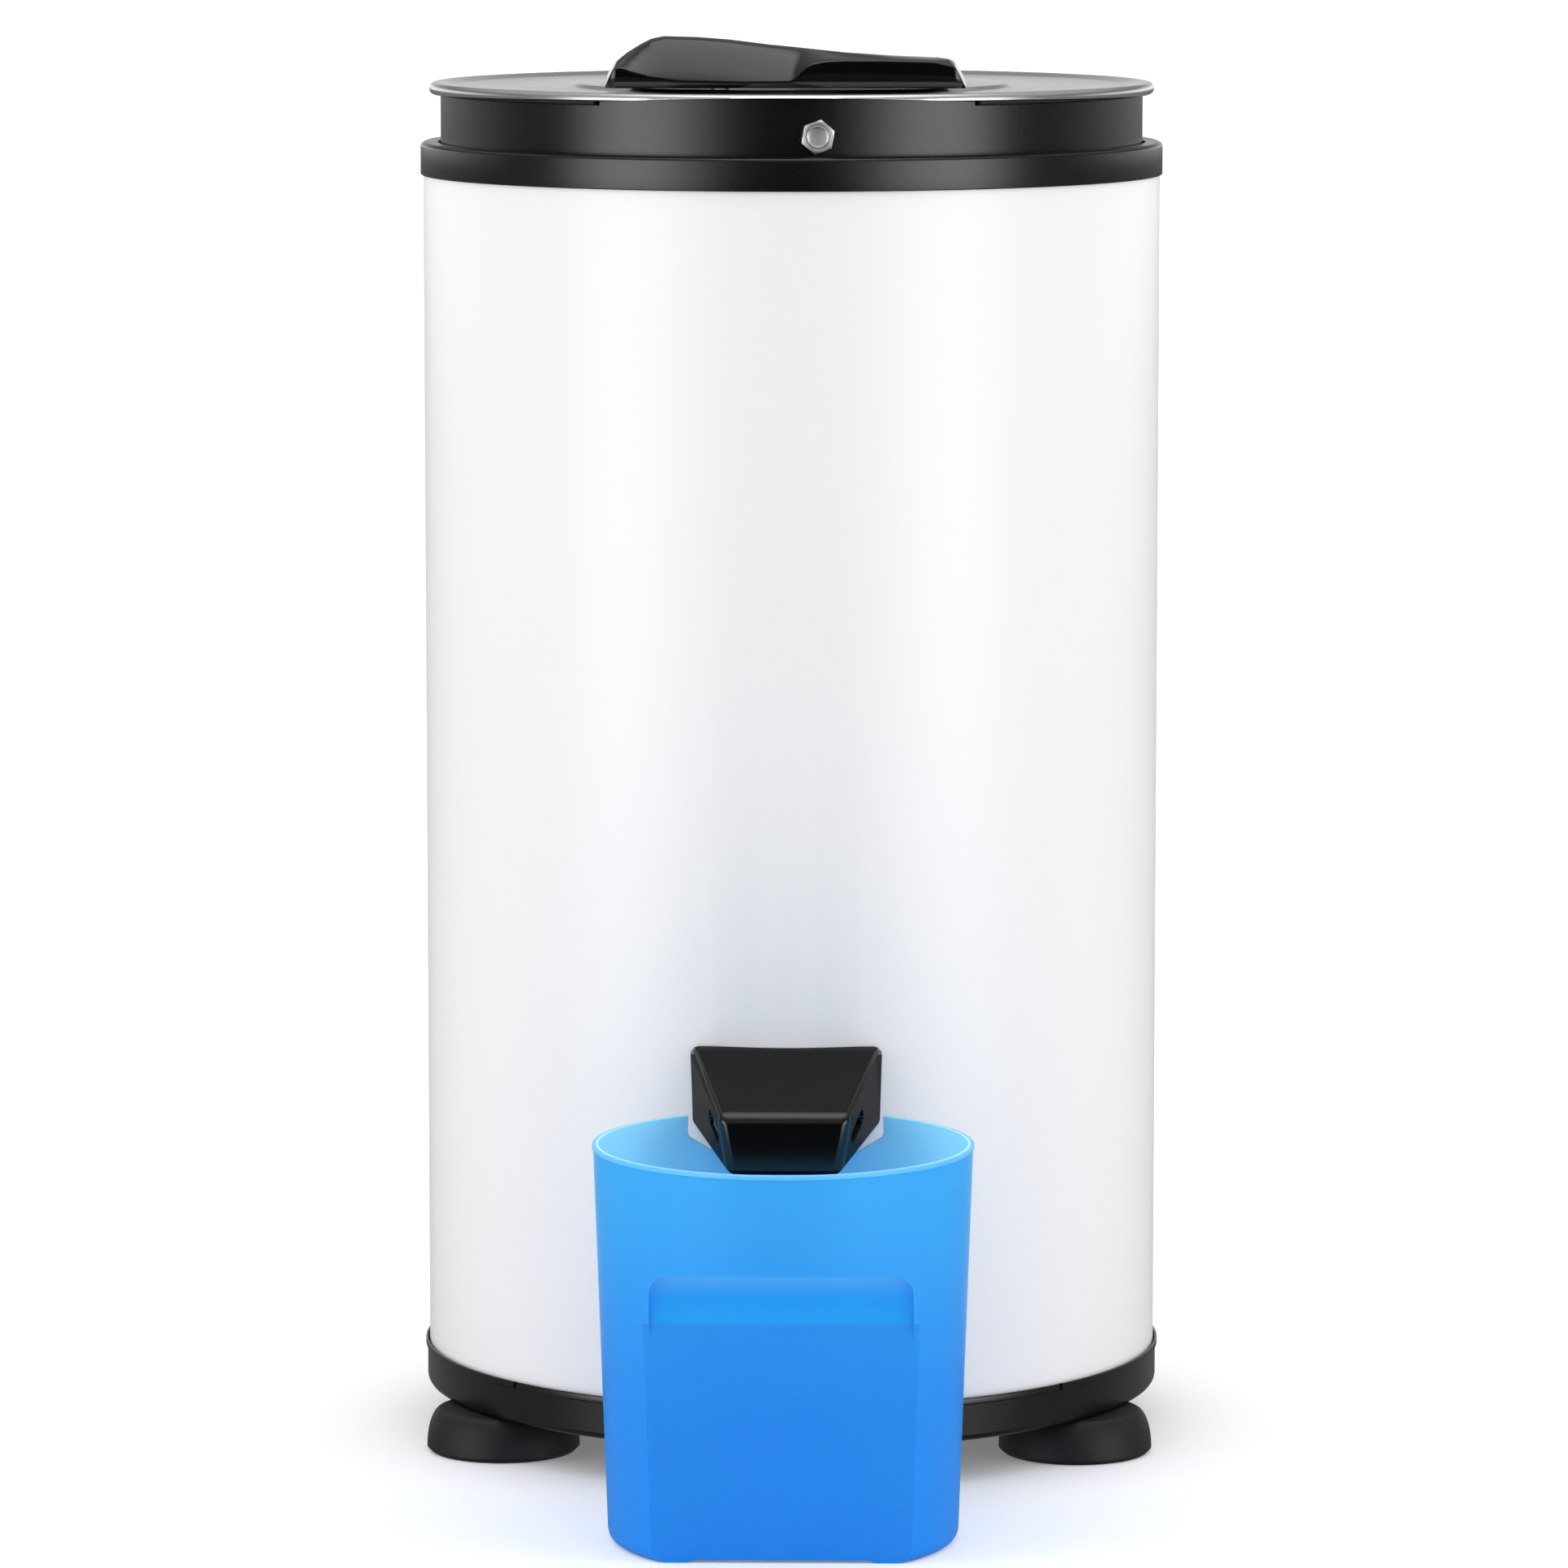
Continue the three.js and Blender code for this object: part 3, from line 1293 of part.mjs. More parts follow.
const lid = new THREE.Group();
addPiece(lid, 'lid_pan', lidPanShape(), finishes.lidSteel);
addPiece(lid, 'lid_liner', lidLinerShape(), finishes.whitePlastic);
addPiece(lid, 'hinge_leaf', hingeLeafShape(), finishes.blackSatin);
const lever = new THREE.Group();
lever.position.set(leverX, leverY, 0);
addPiece(lever, 'lid_handle', handleShape(), finishes.blackGloss, 0, 0, handleBottom);
addPiece(lever, 'handle_pivot', handlePivotShape(), finishes.steel);
addPiece(lever, 'latch_tongue', latchTongueShape(), finishes.steel);
lid.add(lever);
addPiece(casing, 'switch_plunger', switchPlungerShape(), finishes.whitePlastic);

const bucket = new THREE.Group();
bucket.position.y = bucketY;
addPiece(bucket, 'bucket', bucketShape(), finishes.bluePlastic);

dryer.add(casing, hung, brake, spinning, lid, bucket);
const group = new THREE.Group();
group.add(dryer);
const springPitch = (springTop - springBottom) / springTurns;
console.log(`gap between the spring's turns: ${(springPitch - springWireDiameter).toFixed(2)} mm`);

export default group;
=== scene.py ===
"""Looks of a gravity-drain spin dryer and its catch bucket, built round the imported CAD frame.

Shapes are given in millimetres about the dryer's own upright axis and moved to the shared frame
when a piece is finished. A Profile lists the corners of an outline as (across, up), with the
radius of the corner's fillet as a third number where it is rounded.
"""

import logging
import math
from dataclasses import dataclass
from enum import Enum
from typing import Callable, Sequence

import bpy
from mathutils import Euler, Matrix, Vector


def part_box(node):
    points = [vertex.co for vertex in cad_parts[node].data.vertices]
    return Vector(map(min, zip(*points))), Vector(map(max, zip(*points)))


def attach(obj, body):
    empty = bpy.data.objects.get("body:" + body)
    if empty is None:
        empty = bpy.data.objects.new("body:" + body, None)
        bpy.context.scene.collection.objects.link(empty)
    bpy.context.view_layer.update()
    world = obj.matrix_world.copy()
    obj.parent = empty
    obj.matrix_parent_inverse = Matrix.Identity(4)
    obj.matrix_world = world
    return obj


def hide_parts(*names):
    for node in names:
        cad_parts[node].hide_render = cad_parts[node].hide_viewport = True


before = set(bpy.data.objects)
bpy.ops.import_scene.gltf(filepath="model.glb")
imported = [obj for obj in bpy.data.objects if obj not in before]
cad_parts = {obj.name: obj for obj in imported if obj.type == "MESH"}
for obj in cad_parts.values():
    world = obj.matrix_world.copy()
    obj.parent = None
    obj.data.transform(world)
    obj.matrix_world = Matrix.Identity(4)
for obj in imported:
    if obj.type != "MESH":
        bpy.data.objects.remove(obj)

LOG = logging.getLogger("spin_dryer")
MM = 0.001
UP = (0.0, 0.0, 1.0)
QUARTER = 90.0
FULL_TURN = 360.0
THIRDS = (("left", 120.0), ("right", 240.0))
MERGE = 1e-6
LEAST_RUN = 1e-6
# The most that a fillet may take of the shorter side beside it.
REACH_SHARE = 0.48
# Segments of a circle, from the widest forms to the smallest.
ROUND = 192
FAIR = 144
MEDIUM = 96
COARSE = 64
SMALL = 48
TINY = 24
HEXAGON = 6
# The arched line of the front tab, and how far the form below it reaches.
ARCH_HALF = 80.4
ARCH_REACH = 100
ARCH_STEP = 10
ARCH_BOTTOM = 560.0
ARCH_DEPTH = 220.0
# The two colour inputs of a Mix node and its colour output.
MIX_LOW = 6
MIX_HIGH = 7
MIX_RESULT = 2
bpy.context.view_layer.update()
SHELL_LOW, SHELL_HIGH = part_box("casing_shell")
AXIS_Y = (SHELL_LOW.y + SHELL_HIGH.y) / 2

Point = tuple[float, float, float]
Corner = tuple[float, ...]
Profile = tuple[Corner, ...]
Colour = tuple[float, float, float]
Span = tuple[float, float]


class Axis(Enum):
    """The three directions of the shared frame."""

    X = 0
    Y = 1
    Z = 2


class Body(Enum):
    """The CAD bodies that the pieces ride on."""

    CASING = "casing"
    LID = "lid"
    LEVER = "lever"
    DRUM = "drum"
    PLATE = "press_plate"
    BUCKET = "bucket"


class Slot(Enum):
    """The record's material slots that the pieces use."""

    ENAMEL = "white_enamel"
    SATIN = "black_plastic"
    GLOSS = "black_gloss"
    RUBBER = "rubber"
    LID = "lid_steel"
    STEEL = "steel"
    DRUM = "drum_steel"
    WHITE = "white_plastic"
    BLUE = "blue_plastic"


def rounded(profile: Sequence[Corner], closed: bool = True, steps: int = 4) -> list[tuple[float, float]]:
    """Rounds the corners of an outline.

    Args:
        profile: points of (across, up) or (across, up, fillet radius).
        closed: whether the last point joins the first.
        steps: the segments of each rounded corner.

    Returns:
        The outline as plain (across, up) points.
    """
    count = len(profile)
    points: list[tuple[float, float]] = []
    for index, corner in enumerate(profile):
        here = Vector(corner[:2])
        fillet = corner[2] if len(corner) > 2 else 0.0
        inner = closed or 0 < index < count - 1
        if not fillet or not inner:
            points.append((here.x, here.y))
            continue
        back = Vector(profile[index - 1][:2]) - here
        ahead = Vector(profile[(index + 1) % count][:2]) - here
        half = back.angle(ahead) / 2
        reach = min(fillet / math.tan(half), back.length * REACH_SHARE, ahead.length * REACH_SHARE)
        radius = reach * math.tan(half)
        centre = here + (back.normalized() + ahead.normalized()).normalized() * radius / math.sin(half)
        start = here + back.normalized() * reach - centre
        end = here + ahead.normalized() * reach - centre
        sweep = start.angle_signed(end)
        for step in range(steps + 1):
            turn = -sweep * step / steps
            spoke = Vector((start.x * math.cos(turn) - start.y * math.sin(turn),
                            start.x * math.sin(turn) + start.y * math.cos(turn)))
            points.append((centre.x + spoke.x, centre.y + spoke.y))
    return points


class Form:
    """One mesh being shaped with Blender's operators. Lengths are in millimetres."""

    def __init__(self, name: str) -> None:
        """Takes over the object that an operator has just added, and settles its place in its mesh."""
        self.obj: bpy.types.Object = bpy.context.object
        self.obj.name = name
        bpy.ops.object.transform_apply(location=True, rotation=True, scale=True)

    @staticmethod
    def deselect() -> None:
        """Leaves edit mode and deselects every object."""
        if bpy.context.object and bpy.context.object.mode != "OBJECT":
            bpy.ops.object.mode_set(mode="OBJECT")
        bpy.ops.object.select_all(action="DESELECT")

    @classmethod
    def turned(cls, name: str, profile: Sequence[Corner], sides: int = ROUND,
               centre: tuple[float, float] = (0.0, 0.0), steps: int = 4) -> "Form":
        """Turns an outline of (radius, height) points about an upright axis.

        Args:
            name: the piece's name.
            profile: the outline, with fillet radii as in rounded(). It starts and ends on the axis,
                or is closed.
            sides: the number of segments round the axis.
            centre: where the axis stands.
            steps: the segments of each rounded corner.

        Returns:
            The closed form.
        """
        solid = profile[0][0] == 0
        points = rounded(profile, closed=not solid, steps=steps)
        rings = [point for point in points if point[0] > 0]
        if not solid:
            rings.append(rings[0])
        radius, level = rings[0]
        place = (centre[0] * MM, centre[1] * MM)
        cls.deselect()
        bpy.ops.mesh.primitive_circle_add(vertices=sides, radius=radius * MM, location=(*place, level * MM),
                                          fill_type="TRIFAN" if solid else "NOTHING")
        form = cls(name)
        bpy.ops.object.mode_set(mode="EDIT")
        bpy.ops.mesh.select_mode(type="VERT")
        bpy.ops.mesh.select_all(action="DESELECT")
        bpy.ops.mesh.select_non_manifold()
        for next_radius, next_level in rings[1:]:
            bpy.ops.mesh.extrude_region_move(
                TRANSFORM_OT_translate={"value": (0, 0, (next_level - level) * MM)})
            grow = next_radius / radius
            bpy.ops.transform.resize(value=(grow, grow, 1), center_override=(*place, next_level * MM))
            radius, level = next_radius, next_level
        if solid:
            bpy.ops.mesh.extrude_region_move(TRANSFORM_OT_translate={"value": (0, 0, 0)})
            bpy.ops.mesh.merge(type="CENTER")
        form.close()
        return form

    @classmethod
    def block(cls, name: str, low: Point, high: Point) -> "Form":
        """A box between two corners, to be shaped further or cut with."""
        middle = [(a + b) / 2 * MM for a, b in zip(low, high)]
        size = [abs(b - a) * MM for a, b in zip(low, high)]
        cls.deselect()
        bpy.ops.mesh.primitive_cube_add(size=1, location=middle, scale=size)
        return cls(name)

    @classmethod
    def rod(cls, name: str, radius: float, start: float, end: float, at: Point, axis: Axis = Axis.Z,
            sides: int = SMALL) -> "Form":
        """A round or many-sided rod along an axis.

        Args:
            name: the piece's name.
            radius: the rod's radius.
            start: the place of one end along the axis.
            end: the place of the other end.
            at: a point of the rod's line; its value along the axis isn't used.
            axis: the direction of the rod.
            sides: the number of sides.

        Returns:
            The closed form.
        """
        turns = {Axis.X: (0, math.pi / 2, 0), Axis.Y: (math.pi / 2, 0, 0), Axis.Z: (0, 0, 0)}
        place = list(at)
        place[axis.value] = (start + end) / 2
        cls.deselect()
        bpy.ops.mesh.primitive_cylinder_add(vertices=sides, radius=radius * MM, depth=abs(end - start) * MM,
                                            location=[value * MM for value in place], rotation=turns[axis])
        return cls(name)

    @classmethod
    def prism(cls, name: str, outline: Sequence[tuple[float, float]], start: float, end: float,
              axis: Axis) -> "Form":
        """An outline carried along an axis.

        Args:
            name: the piece's name.
            outline: points in the plane across the axis, in the order of the two other directions.
            start: the first end along the axis.
            end: the last end along the axis.
            axis: the direction that the outline is carried in.

        Returns:
            The closed form.
        """
        across = [direction.value for direction in Axis if direction is not axis]
        cls.deselect()
        bpy.ops.mesh.primitive_circle_add(vertices=len(outline), radius=MM, fill_type="NGON")
        form = cls(name)
        for vertex, point in zip(form.obj.data.vertices, outline):
            place = [0.0, 0.0, 0.0]
            place[axis.value] = start * MM
            place[across[0]], place[across[1]] = point[0] * MM, point[1] * MM
            vertex.co = place
        travel = [0.0, 0.0, 0.0]
        travel[axis.value] = (end - start) * MM
        form.edit()
        bpy.ops.mesh.extrude_region_move(TRANSFORM_OT_translate={"value": travel})
        form.close()
        return form

    @classmethod
    def loft(cls, name: str, sections: Sequence[Sequence[Point]]) -> "Form":
        """Joins outlines with the same number of points, one after another.

        Args:
            name: the piece's name.
            sections: the outlines, as places in millimetres.

        Returns:
            The closed form.
        """
        count = len(sections[0])
        cls.deselect()
        bpy.ops.mesh.primitive_circle_add(vertices=count, radius=MM, fill_type="NGON")
        form = cls(name)
        form.edit()
        for _ in sections[1:]:
            bpy.ops.mesh.extrude_region_move(TRANSFORM_OT_translate={"value": (0, 0, MM)})
        bpy.ops.object.mode_set(mode="OBJECT")
        for vertex in form.obj.data.vertices:
            station = round(vertex.co.z / MM)
            turn = math.atan2(vertex.co.y, vertex.co.x) / math.tau * count
            vertex.co = Vector(sections[station][round(turn) % count]) * MM
        form.edit()
        form.close()
        return form

    @classmethod
    def tube(cls, name: str, path: Sequence[Vector], radius: float, sides: int = 12) -> "Form":
        """A round bar that follows a line of points, with closed ends.

        Args:
            name: the piece's name.
            path: the points of the bar's middle line, in millimetres.
            radius: the bar's radius.
            sides: the number of sides of the bar.

        Returns:
            The closed form.
        """
        cls.deselect()
        bpy.ops.curve.primitive_nurbs_path_add(location=(0, 0, 0))
        curve = bpy.context.object.data
        curve.splines.clear()
        line = curve.splines.new("POLY")
        line.points.add(len(path) - 1)
        for point, place in zip(line.points, path):
            point.co = (*(place * MM), 1)
        curve.dimensions = "3D"
        curve.twist_mode = "MINIMUM"
        curve.bevel_depth = radius * MM
        curve.bevel_resolution = max(sides // 4 - 1, 0)
        curve.use_fill_caps = True
        bpy.ops.object.convert(target="MESH")
        form = cls(name)
        form.edit()
        form.close()
        return form

    def copy(self, name: str) -> "Form":
        """A copy with a mesh of its own."""
        self.activate()
        bpy.ops.object.duplicate(linked=False)
        return Form(name)

    def ring(self, count: int) -> "Form":
        """Repeats the mesh evenly round the dryer's axis."""
        self.edit()
        bpy.ops.mesh.spin(steps=count, dupli=True, angle=math.tau, center=(0, 0, 0), axis=UP)
        bpy.ops.mesh.select_all(action="SELECT")
        bpy.ops.mesh.remove_doubles(threshold=MERGE)
        bpy.ops.object.mode_set(mode="OBJECT")
        return self

    def activate(self) -> None:
        """Makes this the one selected object."""
        Form.deselect()
        self.obj.select_set(True)
        bpy.context.view_layer.objects.active = self.obj

    def edit(self) -> None:
        """Enters edit mode with everything selected."""
        self.activate()
        bpy.ops.object.mode_set(mode="EDIT")
        bpy.ops.mesh.select_mode(type="VERT")
        bpy.ops.mesh.select_all(action="SELECT")

    def close(self) -> None:
        """Merges doubled points, turns the faces outwards and leaves edit mode."""
        bpy.ops.mesh.select_all(action="SELECT")
        bpy.ops.mesh.remove_doubles(threshold=MERGE)
        bpy.ops.mesh.normals_make_consistent(inside=False)
        bpy.ops.object.mode_set(mode="OBJECT")

    def pick(self, wanted: Callable[[Vector], bool]) -> None:
        """Enters edit mode with the points selected whose place, in millimetres, is wanted."""
        self.edit()
        bpy.ops.mesh.select_all(action="DESELECT")
        bpy.ops.object.mode_set(mode="OBJECT")
        for vertex in self.obj.data.vertices:
            vertex.select = wanted(vertex.co / MM)
        bpy.ops.object.mode_set(mode="EDIT")

    def stretch(self, wanted: Callable[[Vector], bool], value: Point, about: Point) -> "Form":
        """Scales the wanted points about a place."""
        self.pick(wanted)
        bpy.ops.transform.resize(value=value, center_override=[part * MM for part in about])
        bpy.ops.object.mode_set(mode="OBJECT")
        return self

    def shift(self, wanted: Callable[[Vector], bool], by: Point) -> "Form":
        """Moves the wanted points."""
        self.pick(wanted)
        bpy.ops.transform.translate(value=[part * MM for part in by])
        bpy.ops.object.mode_set(mode="OBJECT")
        return self

    def move(self, by: Point) -> "Form":
        """Moves the whole form."""
        return self.shift(lambda place: True, by)

    def turn(self, angle: float, about: Point = (0.0, 0.0, 0.0), axis: Axis = Axis.Z) -> "Form":
        """Turns the whole form by an angle in degrees, anticlockwise seen from the axis's far end."""
        pivot = Vector(about) * MM
        rotation = Euler([math.radians(angle) if part is axis else 0 for part in Axis]).to_matrix().to_4x4()
        self.activate()
        self.obj.location = pivot - rotation @ pivot
        self.obj.rotation_euler = rotation.to_euler()
        bpy.ops.object.transform_apply(location=True, rotation=True, scale=True)
        return self

    def wedge(self, half_angle: float) -> "Form":
        """Keeps only what lies within an angle, in degrees, to each side of the front."""
        turn = math.radians(half_angle)
        for side in (-1, 1):
            self.edit()
            bpy.ops.mesh.bisect(plane_co=(0, 0, 0), plane_no=(side * math.cos(turn), math.sin(turn), 0),
                                use_fill=True, clear_outer=True)
            self.close()
        return self

    def modify(self, kind: str, **settings: object) -> "Form":
        """Adds a modifier with these settings and applies it."""
        self.activate()
        modifier = self.obj.modifiers.new(kind.lower(), kind)
        for key, value in settings.items():
            setattr(modifier, key, value)
        bpy.ops.object.modifier_apply(modifier=modifier.name)
        return self

    def combine(self, operation: str, *tools: "Form") -> "Form":
        """Joins, cuts or intersects with other forms, which are used up."""
        for tool in tools:
            self.modify("BOOLEAN", operation=operation, object=tool.obj, solver="EXACT")
            bpy.data.objects.remove(tool.obj)
        return self

    def cut(self, *tools: "Form") -> "Form":
        """Takes other forms away from this one."""
        return self.combine("DIFFERENCE", *tools)

    def add(self, *others: "Form") -> "Form":
        """Fuses other forms to this one."""
        return self.combine("UNION", *others)

    def keep(self, *others: "Form") -> "Form":
        """Keeps what lies inside the other forms too."""
        return self.combine("INTERSECT", *others)

    def with_parts(self, *others: "Form") -> "Form":
        """Takes other forms into this mesh without fusing them."""
        self.activate()
        for other in others:
            other.obj.select_set(True)
        bpy.ops.object.join()
        return self

    def second_material(self, material: bpy.types.Material, wanted: Callable[[Vector], bool]) -> None:
        """Gives another material to the faces whose normal is wanted."""
        self.obj.data.materials.append(material)
        for face in self.obj.data.polygons:
            face.material_index = int(wanted(face.normal))

    def bevel(self, width: float, segments: int = 3, angle: float = 40.0) -> "Form":
        """Rounds the edges that are sharper than an angle in degrees."""
        return self.modify("BEVEL", width=width * MM, segments=segments, limit_method="ANGLE",
                           angle_limit=math.radians(angle), use_clamp_overlap=True)

    def finish(self, body: Body, slot: Slot, material: bpy.types.Material, *nodes: str,
               smooth: float = 32.0, weigh: bool = False) -> bpy.types.Object:
        """Moves the form to the shared frame, dresses it and ties it to its body.

        Args:
            body: the CAD body that the piece moves with.
            slot: the record's material slot; not used.
            material: its material.
            nodes: the CAD nodes that the piece stands for.
            smooth: edges flatter than this angle, in degrees, are shaded smooth.
            weigh: whether large faces lead the shading of the small ones beside them.

        Returns:
            The finished object.
        """
        self.activate()
        self.obj.location = (0, AXIS_Y, 0)
        bpy.ops.object.transform_apply(location=True, rotation=True, scale=True)
        bpy.ops.object.shade_smooth_by_angle(angle=math.radians(smooth))
        if weigh:
            self.modify("WEIGHTED_NORMAL", keep_sharp=True)
        self.obj.data.materials.clear()
        self.obj.data.materials.append(material)
        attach(self.obj, body.value)
        if nodes:
            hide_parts(*nodes)
        LOG.info("%s rides on %s, %d faces", self.obj.name, body.value, len(self.obj.data.polygons))
        return self.obj


class Wire:
    """A number socket of a shader, with arithmetic that adds Math nodes."""

    def __init__(self, desk: "Desk", socket: bpy.types.NodeSocket) -> None:
        """Holds one output socket and the desk that its nodes are added to."""
        self.desk = desk
        self.socket = socket

    def apply(self, operation: str, *values: "Wire | float") -> "Wire":
        """Adds one Math node that works on this wire and the given values."""
        node = self.desk.node("ShaderNodeMath", {"operation": operation}, dict(enumerate((self, *values))))
        return Wire(self.desk, node.outputs[0])

    def flipped(self, operation: str, first: "Wire | float") -> "Wire":
        """Adds one Math node with this wire as its second value."""
        node = self.desk.node("ShaderNodeMath", {"operation": operation}, {0: first, 1: self})
        return Wire(self.desk, node.outputs[0])

    def __add__(self, other: "Wire | float") -> "Wire":
        """This plus other."""
        return self.apply("ADD", other)

    __radd__ = __add__

    def __sub__(self, other: "Wire | float") -> "Wire":
        """This minus other."""
        return self.apply("SUBTRACT", other)

    def __rsub__(self, other: float) -> "Wire":
        """Other minus this."""
        return self.flipped("SUBTRACT", other)

    def __mul__(self, other: "Wire | float") -> "Wire":
        """This times other."""
        return self.apply("MULTIPLY", other)

    __rmul__ = __mul__

    def smooth_step(self, low: float, high: float) -> "Wire":
        """0 below low and 1 above high, with a soft change between them."""
        node = self.desk.node("ShaderNodeMapRange", {"interpolation_type": "SMOOTHSTEP"},
                              {"Value": self, "From Min": low, "From Max": high})
        return Wire(self.desk, node.outputs[0])


class Desk:
    """The node tree of one material or of the world."""

    def __init__(self, owner: bpy.types.Material | bpy.types.World) -> None:
        """Empties the owner's node tree."""
        self.owner = owner
        owner.use_nodes = True
        self.tree = owner.node_tree
        self.tree.nodes.clear()

    @classmethod
    def material(cls, name: str) -> "Desk":
        """Starts an empty material of that name."""
        return cls(bpy.data.materials.new(name))

    def node(self, kind: str, settings: dict[str, object] | None = None,
             values: dict[str | int, object] | None = None) -> bpy.types.Node:
        """Adds a node.

        Args:
            kind: the node's type.
            settings: its properties, set before its sockets.
            values: what each input socket gets: a value, a Wire or an output socket.

        Returns:
            The new node.
        """
        node = self.tree.nodes.new(kind)
        for key, value in (settings or {}).items():
            setattr(node, key, value)
        for key, value in (values or {}).items():
            socket = node.inputs[key]
            if isinstance(value, Wire):
                value = value.socket
            if isinstance(value, bpy.types.NodeSocket):
                self.tree.links.new(value, socket)
            elif value is not None:
                socket.default_value = value
        return node

    def place(self) -> bpy.types.NodeSocket:
        """The place on the object, in metres about the dryer's axis."""
        coordinates = self.node("ShaderNodeTexCoord")
        mapping = self.node("ShaderNodeMapping", {"vector_type": "POINT"}, {
            "Vector": coordinates.outputs["Object"],
            "Location": (0, -AXIS_Y, 0),
        })
        return mapping.outputs[0]

    def parts(self, vector: bpy.types.NodeSocket) -> list[Wire]:
        """The three parts of a vector."""
        node = self.node("ShaderNodeSeparateXYZ", values={0: vector})
        return [Wire(self, output) for output in node.outputs]

    def noise(self, scale: float, vector: bpy.types.NodeSocket, detail: float = 3.0,
              roughness: float = 0.5) -> Wire:
        """Soft noise from 0 to 1, with its scale in features a metre."""
        node = self.node("ShaderNodeTexNoise", {"noise_dimensions": "3D"},
                         {"Vector": vector, "Scale": scale, "Detail": detail, "Roughness": roughness})
        return Wire(self, node.outputs[0])

    def blend(self, share: Wire, low: object, high: object) -> bpy.types.NodeSocket:
        """A colour that goes from low to high, which are sockets or four values, with the share."""
        node = self.node("ShaderNodeMix", {"data_type": "RGBA"}, {0: share, MIX_LOW: low, MIX_HIGH: high})
        return node.outputs[MIX_RESULT]

    def tint(self, share: Wire, low: Colour, high: Colour) -> bpy.types.NodeSocket:
        """A colour that goes from low to high as the share goes from 0 to 1."""
        return self.blend(share, (*low, 1), (*high, 1))

    def bump(self, height: Wire, strength: float, depth: float) -> bpy.types.NodeSocket:
        """A normal from a height map. The depth is in millimetres."""
        node = self.node("ShaderNodeBump", values={
            "Strength": strength, "Distance": depth * MM, "Height": height})
        return node.outputs[0]

    def surface(self, **values: object) -> bpy.types.Material:
        """Ends the tree in a Principled shader, whose sockets get the values by name."""
        named = {key.replace("_", " "): value for key, value in values.items()}
        shader = self.node("ShaderNodeBsdfPrincipled", values=named)
        self.node("ShaderNodeOutputMaterial", values={0: shader.outputs[0]})
        return self.owner


def scaled(colour: Colour, share: float) -> Colour:
    """A colour made darker or lighter by a share."""
    return tuple(min(part * share, 1.0) for part in colour)


@dataclass(frozen=True)
class Enamel:
    """Baked gloss enamel on sheet steel, with a faint orange peel."""

    name: str
    colour: Colour
    roughness: float = 0.28
    index: float = 1.5
    specular: float = 0.32
    coat: float = 0.1
    coat_roughness: float = 0.08
    cloud_scale: float = 5.0
    peel_scale: float = 420.0
    dust_scale: float = 1900.0
    shade: float = 0.985
    cloud_share: float = 0.05
    dust_share: float = 0.04
    peel_strength: float = 0.1
    peel_depth: float = 0.06

    def make(self) -> bpy.types.Material:
        """Builds the material."""
        desk = Desk.material(self.name)
        place = desk.place()
        cloud = desk.noise(self.cloud_scale, place, detail=2.0)
        peel = desk.noise(self.peel_scale, place, detail=2.0)
        dust = desk.noise(self.dust_scale, place, detail=1.0)
        return desk.surface(
            Base_Color=desk.tint(cloud, scaled(self.colour, self.shade), self.colour),
            Roughness=self.roughness + self.cloud_share * cloud + self.dust_share * dust,
            IOR=self.index,
            Specular_IOR_Level=self.specular,
            Coat_Weight=self.coat,
            Coat_Roughness=self.coat_roughness,
            Normal=desk.bump(peel, self.peel_strength, self.peel_depth),
        )


@dataclass(frozen=True)
class Moulded:
    """Moulded plastic with a fine spark grain and faint flow marks."""

    name: str
    colour: Colour
    roughness: float
    grain: float = 0.05
    grain_scale: float = 2200.0
    specular: float = 0.5
    index: float = 1.48
    cloud_scale: float = 14.0
    handled_scale: float = 55.0
    shades: Span = (0.88, 1.12)
    polish: float = 0.04
    wear: float = 0.05
    grain_strength: float = 0.25

    def make(self) -> bpy.types.Material:
        """Builds the material."""
        desk = Desk.material(self.name)
        place = desk.place()
        cloud = desk.noise(self.cloud_scale, place, detail=3.0)
        spark = desk.noise(self.grain_scale, place, detail=2.0, roughness=0.6)
        handled = desk.noise(self.handled_scale, place, detail=4.0, roughness=0.65)
        dark, light = self.shades
        return desk.surface(
            Base_Color=desk.tint(cloud, scaled(self.colour, dark), scaled(self.colour, light)),
            Roughness=self.roughness - self.polish + self.wear * spark + self.wear * handled,
            IOR=self.index,
            Specular_IOR_Level=self.specular,
            Normal=desk.bump(spark, self.grain_strength, self.grain),
        )


@dataclass(frozen=True)
class RubberSkin:
    """Soft black rubber with a dusty bloom in soft patches."""

    name: str
    colour: Colour = (0.005, 0.005, 0.0053)
    bloom: Colour = (0.010, 0.010, 0.0105)
    bloom_starts: Span = (0.4, 0.75)
    roughness: float = 0.5
    cloud_share: float = 0.14
    pore_share: float = 0.06
    index: float = 1.5
    specular: float = 0.4
    cloud_scale: float = 60.0
    pore_scale: float = 1600.0
    pore_strength: float = 0.3
    pore_depth: float = 0.05

    def make(self) -> bpy.types.Material:
        """Builds the material."""
        desk = Desk.material(self.name)
        place = desk.place()
        cloud = desk.noise(self.cloud_scale, place, detail=4.0, roughness=0.6)
        pore = desk.noise(self.pore_scale, place, detail=2.0)
        return desk.surface(
            Base_Color=desk.tint(cloud.smooth_step(*self.bloom_starts), self.colour, self.bloom),
            Roughness=self.roughness + self.cloud_share * cloud + self.pore_share * pore,
            IOR=self.index,
            Specular_IOR_Level=self.specular,
            Normal=desk.bump(pore, self.pore_strength, self.pore_depth),
        )


